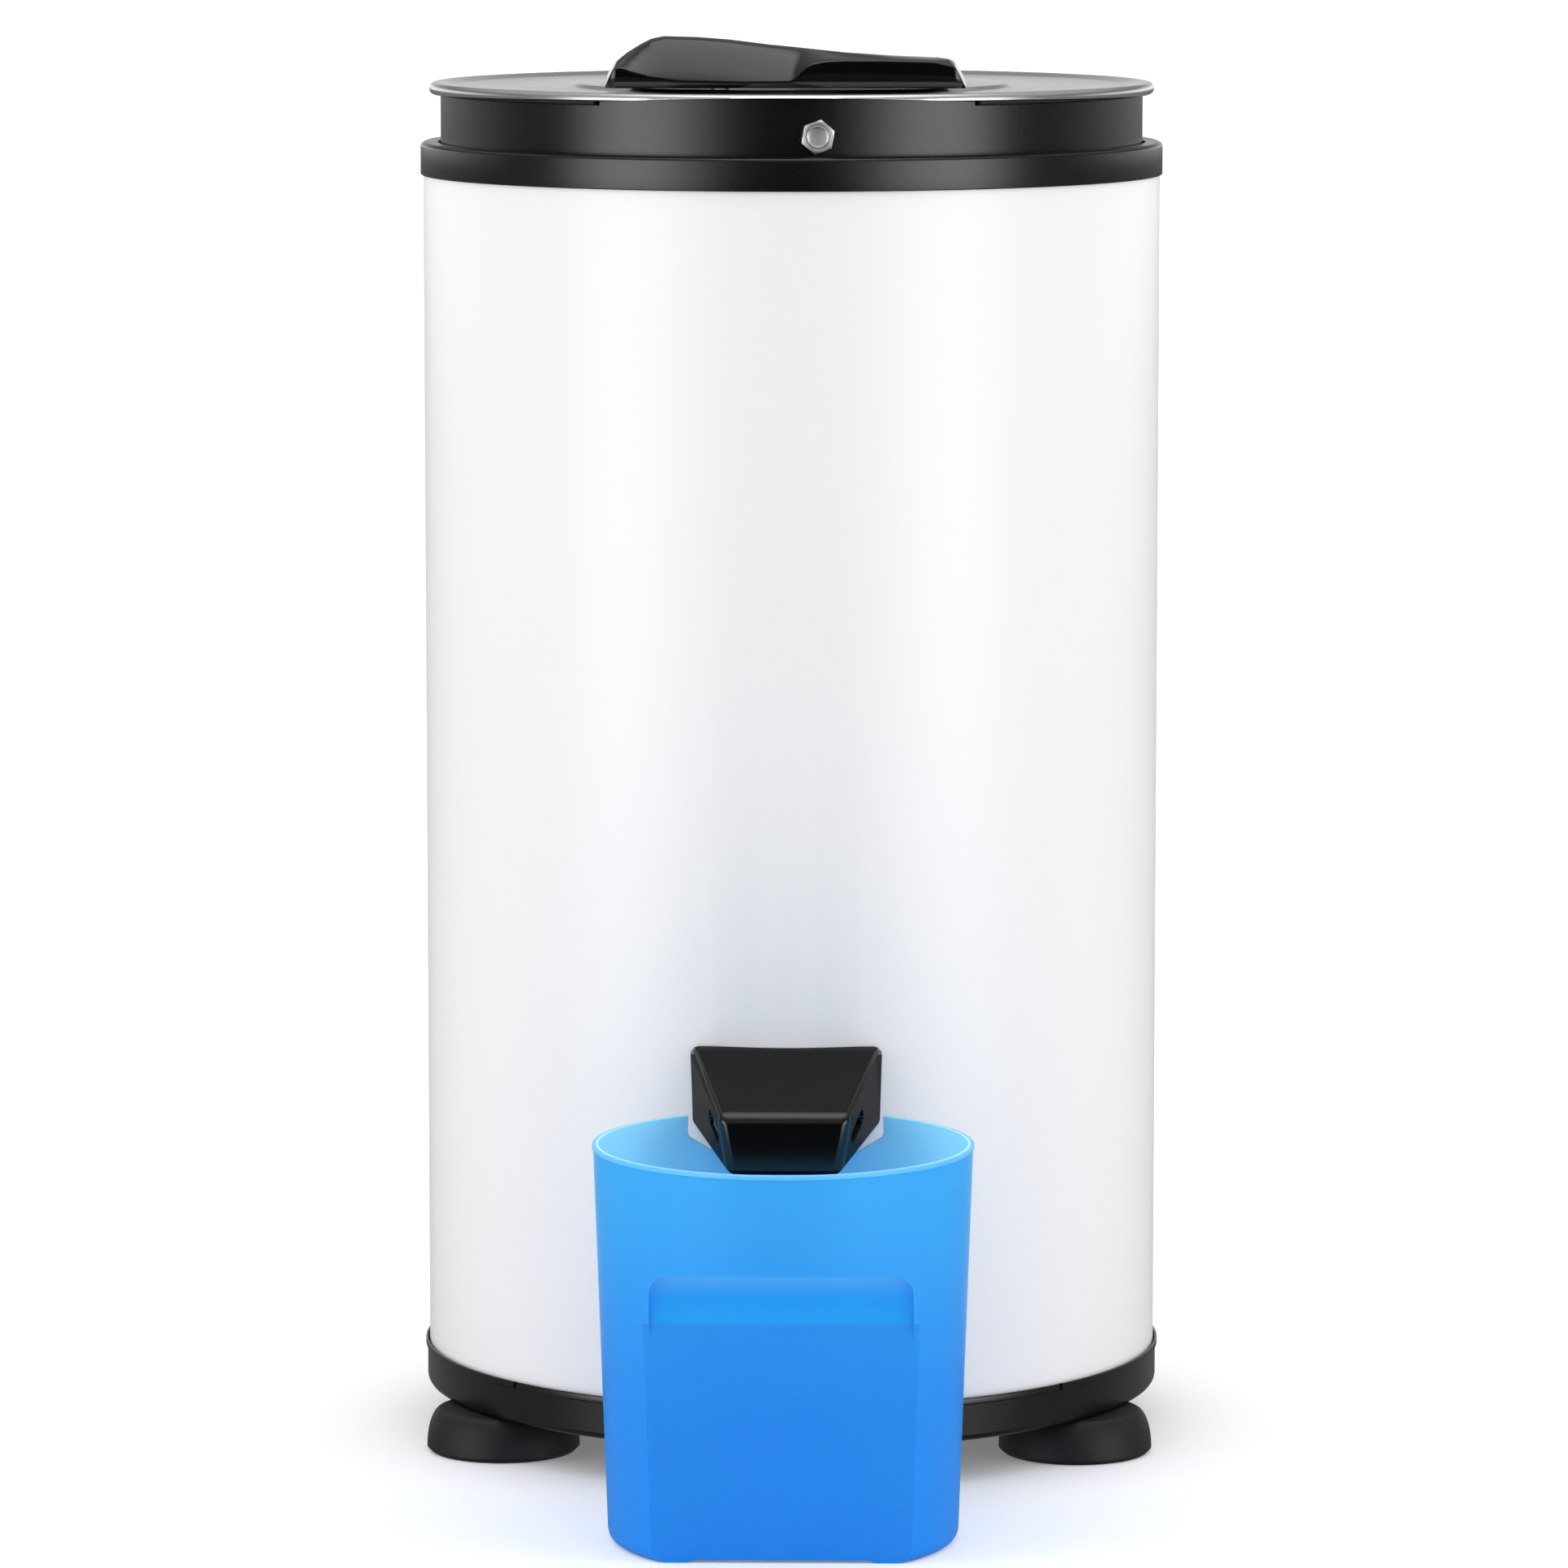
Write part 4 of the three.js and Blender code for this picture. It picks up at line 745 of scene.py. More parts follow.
@dataclass(frozen=True)
class SpunSheet:
    """Bright sheet steel with fine lines round the dryer's axis."""

    name: str
    colour: Colour
    roughness: float = 0.2
    line_scale: float = 2600.0
    line_depth: float = 0.012
    line_strength: float = 0.18
    cloud_scale: float = 9.0
    wiped_scale: float = 70.0
    shades: Span = (0.93, 1.05)
    line_share: float = 0.06
    wiped_share: float = 0.07

    def make(self) -> bpy.types.Material:
        """Builds the material."""
        desk = Desk.material(self.name)
        place = desk.place()
        x, y, z = desk.parts(place)
        radius = (x * x + y * y).apply("SQRT")
        along = desk.node("ShaderNodeCombineXYZ", values={0: radius, 1: z, 2: 0.0}).outputs[0]
        lines = desk.noise(self.line_scale, along, detail=2.0, roughness=0.7)
        cloud = desk.noise(self.cloud_scale, place, detail=3.0)
        wiped = desk.noise(self.wiped_scale, place, detail=4.0, roughness=0.7)
        dark, light = self.shades
        return desk.surface(
            Base_Color=desk.tint(cloud, scaled(self.colour, dark), scaled(self.colour, light)),
            Metallic=1.0,
            Roughness=self.roughness + self.line_share * lines + self.wiped_share * wiped,
            Normal=desk.bump(lines, self.line_strength, self.line_depth),
        )


@dataclass(frozen=True)
class Plated:
    """Zinc-plated steel with a faint mottled spangle."""

    name: str
    colour: Colour = (0.52, 0.53, 0.54)
    roughness: float = 0.3
    mottle_scale: float = 160.0
    scuff_scale: float = 900.0
    shades: Span = (0.8, 1.12)
    mottle_share: float = 0.12
    scuff_share: float = 0.06
    scuff_strength: float = 0.2
    scuff_depth: float = 0.03

    def make(self) -> bpy.types.Material:
        """Builds the material."""
        desk = Desk.material(self.name)
        place = desk.place()
        mottle = desk.noise(self.mottle_scale, place, detail=4.0, roughness=0.6)
        scuff = desk.noise(self.scuff_scale, place, detail=3.0, roughness=0.7)
        dark, light = self.shades
        return desk.surface(
            Base_Color=desk.tint(mottle, scaled(self.colour, dark), scaled(self.colour, light)),
            Metallic=1.0,
            Roughness=self.roughness + self.mottle_share * mottle + self.scuff_share * scuff,
            Normal=desk.bump(scuff, self.scuff_strength, self.scuff_depth),
        )


@dataclass(frozen=True)
class Painted:
    """Thick stove paint on castings."""

    name: str
    colour: Colour
    roughness: float = 0.42
    index: float = 1.5
    cloud_scale: float = 40.0
    cast_scale: float = 380.0
    shades: Span = (0.85, 1.2)
    cast_share: float = 0.12
    cast_strength: float = 0.3
    cast_depth: float = 0.15

    def make(self) -> bpy.types.Material:
        """Builds the material."""
        desk = Desk.material(self.name)
        place = desk.place()
        cloud = desk.noise(self.cloud_scale, place, detail=4.0, roughness=0.6)
        cast = desk.noise(self.cast_scale, place, detail=3.0, roughness=0.6)
        dark, light = self.shades
        return desk.surface(
            Base_Color=desk.tint(cloud, scaled(self.colour, dark), scaled(self.colour, light)),
            Roughness=self.roughness + self.cast_share * cast,
            IOR=self.index,
            Normal=desk.bump(cast, self.cast_strength, self.cast_depth),
        )


@dataclass(frozen=True)
class Frosted:
    """Frosted blue plastic with thin walls that light passes, and painted light: the wall painted lighter
    towards the top, the upper inner wall painted paler where shade falls and given a painted glow, a painted
    highlight along the rim and a painted brighter blue in the grip hollow.
    """

    name: str
    deep: Colour = (0.001, 0.245, 0.86)
    # Painted light: the colour of the upper wall, which is painted lighter than the lower wall.
    light: Colour = (0.028, 0.41, 0.91)
    # Painted light: the paler colour painted on the upper inner wall, where shade falls, and along the rim
    # as a painted highlight.
    pale: Colour = (0.36, 0.78, 1.0)
    # Painted light: the brighter blue painted in the grip hollow.
    grip: Colour = (0.0005, 0.40, 1.0)
    axis: float = -247.5
    base_radius: float = 74.0
    taper: float = 6.0 / 169.0
    # Painted glow: the colour that the upper inner wall gives off, though it is no lamp.
    through: Colour = (0.03, 0.11, 0.22)
    glow: float = 0.35
    glow_reach: float = 6.0
    glow_shares: Colour = (0.25, 0.75, 1.0)
    roughness: float = 0.36
    index: float = 1.46
    cloud_scale: float = 18.0
    cloud_share: float = 0.15
    frost_scale: float = 1500.0
    frost_share: float = 0.08
    frost_strength: float = 0.2
    frost_depth: float = 0.03
    painted_light_depth: Span = (0.0006, 0.0016)
    painted_light_level: Span = (0.11, 0.14)
    rim_highlight_level: Span = (0.1668, 0.1676)
    rim_highlight_share: float = 0.25
    grip_light_depth: Span = (0.003, 0.005)
    grip_low: Span = (0.1, 0.103)
    grip_light_high: Span = (0.12, 0.124)
    painted_rise_level: Span = (0.05, 0.175)

    def make(self) -> bpy.types.Material:
        """Builds the material."""
        desk = Desk.material(self.name)
        place = desk.place()
        x, y, z = desk.parts(place)
        cloud = desk.noise(self.cloud_scale, place, detail=2.0)
        frost = desk.noise(self.frost_scale, place, detail=2.0, roughness=0.6)
        off_axis = y - self.axis * MM
        radius = (x * x + off_axis * off_axis).apply("SQRT")
        depth = self.base_radius * MM + z * self.taper - radius
        # Painted light: the mask of the upper inner wall, which is painted paler and given a painted glow.
        inside = depth.smooth_step(*self.painted_light_depth) * z.smooth_step(*self.painted_light_level)
        # Painted highlight along the top of the rim.
        rim = z.smooth_step(*self.rim_highlight_level) * self.rim_highlight_share
        # Painted light: the mask of the grip hollow, which is painted a brighter blue.
        hollow = depth.smooth_step(*self.grip_light_depth) * z.smooth_step(*self.grip_low)
        hollow = hollow * (1 - z.smooth_step(*self.grip_light_high))
        # Painted light: the wall is painted lighter towards the top.
        rise = z.smooth_step(*self.painted_rise_level) * (1 - self.cloud_share)
        wall = desk.tint(rise + cloud * self.cloud_share, self.deep, self.light)
        wall = desk.blend(hollow, wall, (*self.grip, 1))
        return desk.surface(
            Base_Color=desk.blend(inside.apply("MAXIMUM", rim), wall, (*self.pale, 1)),
            Roughness=self.roughness + self.frost_share * frost,
            IOR=self.index,
            Subsurface_Weight=self.glow,
            Subsurface_Radius=self.glow_shares,
            Subsurface_Scale=self.glow_reach * MM,
            # Painted glow on the upper inner wall.
            Emission_Color=desk.tint(inside, (0, 0, 0), self.through),
            Emission_Strength=1.0,
            Normal=desk.bump(frost, self.frost_strength, self.frost_depth),
        )


@dataclass(frozen=True)
class Ground:
    """Pale studio floor that shows white to the camera and keeps the shadow."""

    name: str
    colour: Colour = (0.93, 0.93, 0.93)
    lift: float = 0.17
    grain_scale: float = 300.0
    shade: float = 0.99
    roughness: float = 0.9
    specular: float = 0.1

    def make(self) -> bpy.types.Material:
        """Builds the material."""
        desk = Desk.material(self.name)
        grain = desk.noise(self.grain_scale, desk.place(), detail=2.0)
        seen = Wire(desk, desk.node("ShaderNodeLightPath").outputs["Is Camera Ray"])
        return desk.surface(
            Base_Color=desk.tint(grain, scaled(self.colour, self.shade), self.colour),
            Roughness=self.roughness,
            Specular_IOR_Level=self.specular,
            Emission_Color=(1, 1, 1, 1),
            Emission_Strength=seen * self.lift,
        )


class Finishes:
    """The materials of the whole object, each built once."""

    def __init__(self) -> None:
        """Builds every material."""
        self.enamel = Enamel("white_enamel", colour=(0.86, 0.862, 0.866)).make()
        self.satin = Moulded("black_satin_plastic", colour=(0.003, 0.003, 0.0032), roughness=0.27).make()
        self.gloss = Moulded("black_gloss_plastic", colour=(0.0022, 0.0022, 0.0024), roughness=0.13,
                             grain=0.02, grain_scale=900.0).make()
        self.matt = Moulded("black_matt_plastic", colour=(0.006, 0.006, 0.0064), roughness=0.5,
                            specular=0.1).make()
        self.rubber = RubberSkin("black_rubber").make()
        self.lid = SpunSheet("bright_lid_sheet", colour=(0.60, 0.605, 0.61), roughness=0.22).make()
        self.drum = SpunSheet("polished_drum_sheet", colour=(0.62, 0.625, 0.63), roughness=0.16,
                              line_scale=1500.0).make()
        self.steel = Plated("zinc_plate").make()
        self.bright = Plated("bright_plate", colour=(0.72, 0.725, 0.73), roughness=0.32).make()
        self.white = Moulded("white_plastic", colour=(0.78, 0.785, 0.79), roughness=0.36).make()
        self.grey = Moulded("grey_plastic", colour=(0.32, 0.325, 0.335), roughness=0.45).make()
        self.motor = Painted("motor_stove_paint", colour=(0.05, 0.053, 0.058)).make()
        self.core = Plated("core_plate", colour=(0.3, 0.3, 0.31), roughness=0.42).make()
        self.blue = Frosted("frosted_blue_plastic").make()


def polar(radius: float, angle: float, level: float = 0.0) -> Vector:
    """The place at a radius and an angle in degrees, anticlockwise from +X."""
    turn = math.radians(angle)
    return Vector((radius * math.cos(turn), radius * math.sin(turn), level))


def smooth_path(knots: Sequence[Vector], steps: int) -> list[Vector]:
    """A Catmull-Rom curve through all the knots.

    Args:
        knots: the places that the curve passes through.
        steps: the pieces of the curve between two knots.

    Returns:
        The curve's points, with both end knots.
    """
    path = []
    for index, (here, there) in enumerate(zip(knots, knots[1:])):
        before = knots[max(index - 1, 0)]
        after = knots[min(index + 2, len(knots) - 1)]
        for step in range(steps):
            t = step / steps
            path.append(0.5 * (2 * here + (there - before) * t
                               + (2 * before - 5 * here + 4 * there - after) * t ** 2
                               + (3 * here - before - 3 * there + after) * t ** 3))
    return [*path, knots[-1]]


def moved(profile: Profile, across: float, up: float) -> list[Corner]:
    """An outline carried across and up, with its fillets as they are."""
    return [(place + across, level + up, *fillet) for place, level, *fillet in profile]


def under_arch(name: str, level: float, rise: float) -> Form:
    """All that lies below the gently arched line of the front tab.

    Args:
        name: the form's name.
        level: the line's level at the tab's ends.
        rise: how much higher it is in the middle.

    Returns:
        The closed form.
    """
    line = [
        (across, level + rise * (1 - (across / ARCH_HALF) ** 2))
        for across in range(ARCH_REACH, -ARCH_REACH - 1, -ARCH_STEP)
    ]
    base = [(-ARCH_REACH, ARCH_BOTTOM), (ARCH_REACH, ARCH_BOTTOM)]
    return Form.prism(name, [*base, *line], -ARCH_DEPTH, 0, Axis.Y)


def finish_thirds(first: Form, stem: str, node: str, slot: Slot, material: bpy.types.Material) -> None:
    """Finishes a form that stands at the rear, and a turned copy of it at the left and at the right.

    Args:
        first: the form at the rear.
        stem: what the names of the copies begin with.
        node: what the names of the CAD nodes begin with.
        slot: the record's material slot.
        material: the material of all three.
    """
    copies = [first.copy(f"{stem}_{side}").turn(angle) for side, angle in THIRDS]
    for form, place in zip((first, *copies), ("rear", "left", "right")):
        form.finish(Body.CASING, slot, material, f"{node}_{place}")


@dataclass
class Casing:
    """The white cylinder, its base pan, its feet and the gland of the cord."""

    finishes: Finishes
    radius: float = 164.0
    inner_radius: float = 163.0
    bottom: float = 34.0
    top: float = 572.0
    sheet_edge: float = 0.3
    seam_width: float = 4.0
    seam_proud: float = 0.5
    seam_ends: Span = (39.0, 563.5)
    seam_round: float = 0.4
    wall_reach: Span = (150.0, 180.0)
    gland_hole: float = 7.3
    hose_level: float = 172.0
    hose_hole: float = 11.9
    screw_hole: float = 2.3
    spout_screws: Span = (34.3, 189.0)
    tray: Profile = (
        (24.0, 19.0, 0.6), (165.0, 19.0, 3.0), (165.0, 35.5, 0.3), (165.8, 35.5, 0.4), (165.8, 38.5, 0.6),
        (164.8, 38.5, 0.3), (164.8, 33.7), (159.0, 33.7, 0.5), (159.0, 22.0, 2.0), (24.0, 22.0, 0.6),
    )
    nick: tuple[Point, Point] = ((-0.8, -166.8, 35.4), (0.8, -165.0, 39.5))
    nick_angle: float = 46.4
    foot_angles: tuple[float, ...] = (90.0, 210.0, 330.0)
    foot_pitch: float = 147.0
    foot_radius: float = 34.0
    foot_top_radius: float = 27.5
    foot_edge: float = 2.0
    foot_height: float = 19.0
    foot_rounds: Span = (0.5, 0.6)
    foot_steps: int = 10
    socket_radius: float = 9.0
    socket_depth: float = 10.0
    screw_radius: float = 2.8
    screw_reach: Span = (10.0, 30.0)
    gland_level: float = 60.0
    gland: Profile = (
        (3.6, -8.0, 0.4), (7.0, -8.0, 0.6), (7.0, 0.3), (11.0, 0.3, 0.5), (11.0, 4.3, 1.6),
        (7.4, 4.3, 0.6), (5.2, 2.6, 0.6), (3.6, 1.6, 0.5),
    )

    def build(self) -> None:
        """Builds every piece."""
        self.build_shell()
        self.build_pan()
        self.build_feet()
        self.build_gland()

    def build_shell(self) -> None:
        """The rolled sheet with a lock seam up its back and holes for what passes through it."""
        shell = Form.turned("shell_sheet", [
            (self.inner_radius, self.bottom),
            (self.radius, self.bottom, self.sheet_edge),
            (self.radius, self.top, self.sheet_edge),
            (self.inner_radius, self.top),
        ])
        half = self.seam_width / 2
        low, high = self.seam_ends
        seam = Form.block("seam", (-half, self.inner_radius + self.sheet_edge, low),
                          (half, self.radius + self.seam_proud, high))
        across, level = self.spout_screws
        near, far = self.wall_reach
        shell.add(seam.bevel(self.seam_round, segments=2))
        shell.cut(
            Form.rod("gland_hole", self.gland_hole, near, far, (0, 0, self.gland_level), Axis.Y),
            Form.rod("hose_hole", self.hose_hole, -far, -near, (0, 0, self.hose_level), Axis.Y),
            *(Form.rod("screw_hole", self.screw_hole, -far, -near, (side * across, 0, level), Axis.Y)
              for side in (-1, 1)),
        )
        shell.finish(Body.CASING, Slot.ENAMEL, self.finishes.enamel, "casing_shell")

    def build_pan(self) -> None:
        """The base pan, with a thin, nicked lip round the sheet's lower edge."""
        pan = Form.turned("base_tray", self.tray)
        nicks = [Form.block("nick", *self.nick).turn(side * self.nick_angle) for side in (-1, 1)]
        holes = [
            Form.rod("screw_hole", self.screw_radius, *self.screw_reach, polar(self.foot_pitch, angle))
            for angle in self.foot_angles
        ]
        pan.cut(*nicks, *holes)
        pan.finish(Body.CASING, Slot.SATIN, self.finishes.satin, "base_pan")

    def build_feet(self) -> None:
        """Three rubber domes, each with a socket for its screw."""
        rise = self.foot_height - self.foot_edge
        swell = self.foot_radius - self.foot_top_radius
        turns = [math.pi / 2 * step / self.foot_steps for step in range(self.foot_steps + 1)]
        socket_round, edge_round = self.foot_rounds
        foot = Form.turned("foot_pad_rear", [
            (self.socket_radius, 0.0, socket_round),
            (self.foot_radius - self.foot_edge, 0.0, edge_round),
            *((self.foot_top_radius + swell * math.cos(turn), self.foot_edge + rise * math.sin(turn))
              for turn in turns),
            (self.screw_radius, self.foot_height),
            (self.screw_radius, self.socket_depth),
            (self.socket_radius, self.socket_depth),
        ], MEDIUM)
        foot.move(polar(self.foot_pitch, QUARTER))
        finish_thirds(foot, "foot_pad", "foot", Slot.RUBBER, self.finishes.rubber)

    def build_gland(self) -> None:
        """The rubber gland at the back, where the mains cord goes in."""
        gland = Form.turned("rubber_gland", self.gland, SMALL)
        gland.turn(-QUARTER, axis=Axis.X).move((0, self.radius, self.gland_level))
        gland.finish(Body.CASING, Slot.RUBBER, self.finishes.rubber, "cord_gland")


@dataclass
class Collar:
    """The black ring over the sheet's edge, the band with its front tab, and the bolt."""

    finishes: Finishes
    ring: Profile = (
        (146.0, 572.0, 0.4), (164.3, 572.0), (164.3, 564.0, 0.2), (165.2, 564.0, 0.5), (165.2, 577.6, 1.6),
        (163.2, 578.5, 1.2), (157.5, 578.5, 0.5), (157.5, 576.0), (146.0, 576.0, 0.4),
    )
    band: Profile = (
        (112.0, 556.0, 0.8), (112.0, 579.0, 5.0), (153.2, 579.0, 2.5), (153.2, 604.2), (156.2, 604.2),
        (156.2, 576.0, 0.4), (114.5, 576.0, 3.0), (114.5, 556.0, 0.8),
    )
    band_radius: float = 156.2
    band_inner: float = 153.2
    band_round: float = 0.8
    over: tuple[float, float, float] = (2.0, 599.3, 607.2)
    tab: tuple[float, float, float] = (3.0, 596.3, 608.2)
    tab_top: float = 601.1
    tab_arch: float = 2.1
    tab_half_angle: float = 31.0
    bolt_hole: float = 4.3
    bolt_clear: float = 5.0
    bolt_x: float = 13.5
    bolt_level: float = 587.0
    bolt_flats: float = 13.0
    bolt_head: float = 4.5
    bolt_turn: float = 10.0
    crown_foot: Profile = ((-0.4, 0.0), (0.2, 0.5))
    crown_edge: Profile = ((0.2, -1.0), (-0.9, -0.2, 0.4))
    crown_dish: Profile = (
        (5.5, 0.0, 0.3), (5.3, -1.0, 0.1), (4.95, -1.0, 0.1), (4.75, -0.05, 0.25), (4.15, -0.05, 0.2),
        (3.95, -0.7, 0.2), (0.0, -0.9),
    )
    shank_tip: Profile = ((0.0, 0.0), (3.2, 0.0), (4.0, 1.2))
    shank_end: Profile = ((4.0, 0.5), (0.0, 0.5))

    def build(self) -> None:
        """Builds every piece."""
        ring = Form.turned("collar_hoop", self.ring)
        ring.finish(Body.CASING, Slot.SATIN, self.finishes.satin, "collar_ring")
        self.build_band()
        self.build_bolt()

    def build_band(self) -> None:
        """The band with its neck, its deck, its raised tab and the hole for the bolt."""
        band = Form.turned("collar_top", self.band)
        over, tab = (
            Form.turned(name, [
                (self.band_inner - margin, low),
                (self.band_radius + margin, low),
                (self.band_radius + margin, high),
                (self.band_inner - margin, high),
            ])
            for name, (margin, low, high) in (("over", self.over), ("tab", self.tab))
        )
        tab.wedge(self.tab_half_angle).keep(under_arch("tab_top", self.tab_top, self.tab_arch))
        band.cut(over.cut(tab)).bevel(self.band_round)
        band.cut(Form.rod("hole", self.bolt_hole, -self.band_radius - self.bolt_clear,
                          -self.band_inner + self.bolt_clear, (self.bolt_x, 0, self.bolt_level), Axis.Y))
        band.finish(Body.CASING, Slot.SATIN, self.finishes.satin, "collar_band", smooth=40, weigh=True)

    def build_bolt(self) -> None:
        """A hexagon bolt with a chamfered, dished head."""
        corner = self.bolt_flats / math.sqrt(3)
        low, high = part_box("hex_bolt")
        reach = (high.y - low.y) / MM
        seat = -(low.y - AXIS_Y) / MM - self.bolt_head
        head = Form.rod("bolt_head", corner, 0, self.bolt_head, (0, 0, 0), sides=HEXAGON)
        crown = Form.turned("crown", [
            (0, 0),
            *moved(self.crown_foot, corner, 0),
            *moved(self.crown_edge, corner, self.bolt_head),
            *moved(self.crown_dish, 0, self.bolt_head),
        ], SMALL)
        tip = moved(self.shank_tip, 0, self.bolt_head - reach)
        head.keep(crown).add(Form.turned("shank", [*tip, *self.shank_end], SMALL))
        head.turn(-self.bolt_turn).turn(QUARTER, axis=Axis.X)
        head.move((self.bolt_x, -seat, self.bolt_level))
        head.finish(Body.CASING, Slot.STEEL, self.finishes.bright, "hex_bolt", smooth=20)


@dataclass
class Lid:
    """The lid's pan with its gasket, its liner and its hinge."""

    finishes: Finishes
    sheet: Profile = (
        (0.0, 604.3), (95.0, 604.3, 3.0), (98.0, 602.9, 3.0), (131.2, 603.0, 20.0), (148.2, 603.4, 10.0),
        (156.2, 604.8, 3.0), (161.2, 604.8, 2.5), (161.2, 599.6, 2.5), (156.8, 599.6, 0.6),
        (156.6, 602.8, 0.8), (148.2, 601.9, 6.0), (98.0, 601.9, 2.0), (95.0, 603.1, 2.0), (0.0, 603.1),
    )
    notch_radius: float = 152.4
    notch_half_angle: float = 31.5
    over_tab: float = 601.4
    over_tab_arch: float = 2.1
    relief_radius: float = 156.9
    trim_radius: float = 200.0
    trim_levels: Span = (590.0, 610.0)
    through: Span = (590.0, 620.0)
    front_slope: Profile = (
        (-210.0, 580.0), (-30.0, 580.0), (-30.0, 599.6), (-161.2, 602.4), (-210.0, 603.4),
    )
    front_half: float = 210.0
    gasket: Profile = ((156.5, 599.5, 0.5), (158.6, 599.5, 0.8), (158.6, 603.0), (156.5, 603.0))
    rear_half: float = 31.0
    rear_radius: float = 150.2
    pivot: Span = (-30.0, -80.0)
    pivot_hole: float = 4.3
    liner: Profile = (
        (0.0, 587.2), (86.0, 587.2, 3.0), (90.0, 586.0, 3.0), (108.0, 586.0, 4.0), (108.0, 601.9, 0.5),
        (105.5, 601.9, 0.5), (105.5, 588.0, 2.0), (90.0, 588.0, 2.0), (86.0, 589.2, 2.0), (0.0, 589.2),
    )
    window: tuple[Point, Point] = ((-40.0, -113.0, 590.7), (2.5, -80.0, 594.3))
    window_round: float = 1.0
    hinge_line: Point = (0.0, 166.5, 594.0)
    hinge_half: float = 24.0
    hinge_front: float = 150.0
    hinge_low: float = 578.5
    hinge_foot: Span = (160.2, 587.5)
    hinge_round: float = 0.8
    ear_width: float = 6.0
    ear_radius: float = 5.2
    collar_clear: float = 156.5
    collar_levels: Span = (500.0, 640.0)
    bore_radius: float = 2.8
    bore_half: float = 60.0
    pin: Profile = (
        (0.0, -24.3), (2.5, -24.3, 0.6), (2.5, 24.3), (3.6, 24.3, 0.2), (3.6, 25.5, 0.6), (0.0, 25.5),
    )
    knuckle_radius: float = 5.0
    leaf_half: float = 17.5
    leaf_ends: Span = (122.5, 169.0)
    leaf_levels: Span = (603.4, 606.2)
    leaf_round: float = 0.7
    rim_clear: tuple[Point, Point] = ((-18.5, 145.2, 602.4), (18.5, 150.5, 605.1))
    rivet: Profile = ((0.0, 605.2), (3.2, 605.2), (3.2, 606.5), (2.0, 607.2, 0.8), (0.0, 607.4))
    rivet_place: Span = (10.5, 131.5)

    def build(self) -> None:
        """Builds every piece."""
        self.build_pan()
        self.build_liner()
        self.build_hinge()

    def outside(self, name: str, radius: float) -> Form:
        """All that lies outside a radius, at the level of the rim."""
        low, high = self.trim_levels
        return Form.turned(name, [
            (radius, low), (self.trim_radius, low), (self.trim_radius, high), (radius, high),
        ])

    def build_pan(self) -> None:
        """The pressed sheet, with a raised middle, a shallow dish and a rolled rim, and its gasket."""
        pan = Form.turned("lid_sheet", self.sheet)
        front = self.outside("front_notch", self.notch_radius).wedge(self.notch_half_angle)
        front.keep(under_arch("tab_clear", self.over_tab, self.over_tab_arch))
        relief = self.outside("front_relief", self.relief_radius)
        relief.keep(Form.prism("slope", self.front_slope, -self.front_half, self.front_half, Axis.X))
        low, high = self.through
        rear = Form.block("rear_notch", (-self.rear_half, self.rear_radius, low),
                          (self.rear_half, self.trim_radius, high))
        hole = Form.rod("pivot_hole", self.pivot_hole, low, high, (*self.pivot, 0))
        seal = Form.turned("lid_gasket", self.gasket)
        seal.cut(front.copy("seal_notch"), rear.copy("seal_rear"))
        seal.finish(Body.LID, Slot.RUBBER, self.finishes.rubber)
        pan.cut(relief, front, rear, hole)
        pan.finish(Body.LID, Slot.LID, self.finishes.lid, "lid_pan", smooth=40)

    def build_liner(self) -> None:
        """The white cup under the lid that closes the neck."""
        liner = Form.turned("liner_cup", self.liner)
        liner.cut(Form.block("window", *self.window).bevel(self.window_round, segments=2))
        liner.finish(Body.LID, Slot.WHITE, self.finishes.white, "lid_liner")

    def build_hinge(self) -> None:
        """The bracket on the collar, the leaf on the lid and the pin through both."""
        _, middle, level = self.hinge_line
        rear, top = self.hinge_foot
        bracket = Form.block("hinge_base", (-self.hinge_half, self.hinge_front, self.hinge_low),
                             (self.hinge_half, rear, top))
        for side in (-1, 1):
            ends = sorted((side * self.hinge_half, side * (self.hinge_half - self.ear_width)))
            bracket.add(
                Form.block("ear", (ends[0], self.hinge_front, self.hinge_low),
                           (ends[1], middle + self.ear_radius, level)),
                Form.rod("ear_end", self.ear_radius, *ends, self.hinge_line, Axis.X),
            )
        bore = self.bore()
        bracket.cut(Form.rod("collar_clear", self.collar_clear, *self.collar_levels, (0, 0, 0), sides=ROUND))
        bracket.bevel(self.hinge_round).cut(bore)
        bracket.finish(Body.CASING, Slot.SATIN, self.finishes.satin, "hinge_bracket")
        self.build_leaf()
        pin = Form.turned("hinge_rod", self.pin, SMALL).turn(QUARTER, axis=Axis.Y).move(self.hinge_line)
        pin.finish(Body.CASING, Slot.STEEL, self.finishes.steel, "hinge_pin")

    def bore(self) -> Form:
        """The hole for the pin, with its running gap."""
        return Form.rod("bore", self.bore_radius, -self.bore_half, self.bore_half, self.hinge_line, Axis.X)

    def build_leaf(self) -> None:
        """The leaf that is screwed to the lid and turns about the pin."""
        half = self.leaf_half
        front, rear = self.leaf_ends
        bottom, top = self.leaf_levels
        _, middle, level = self.hinge_line
        leaf = Form.block("lid_leaf", (-half, front, bottom), (half, rear, top))
        leaf.add(
            Form.block("web", (-half, middle - self.knuckle_radius, level), (half, rear, top)),
            Form.rod("knuckle", self.knuckle_radius, -half, half, self.hinge_line, Axis.X),
        )
        leaf.bevel(self.leaf_round)
        leaf.cut(Form.block("rim_clear", *self.rim_clear), self.bore())
        across, along = self.rivet_place
        leaf.add(*(Form.turned("rivet", self.rivet, SMALL).move((side * across, along, 0))
                   for side in (-1, 1)))
        leaf.finish(Body.LID, Slot.SATIN, self.finishes.satin, "hinge_leaf")


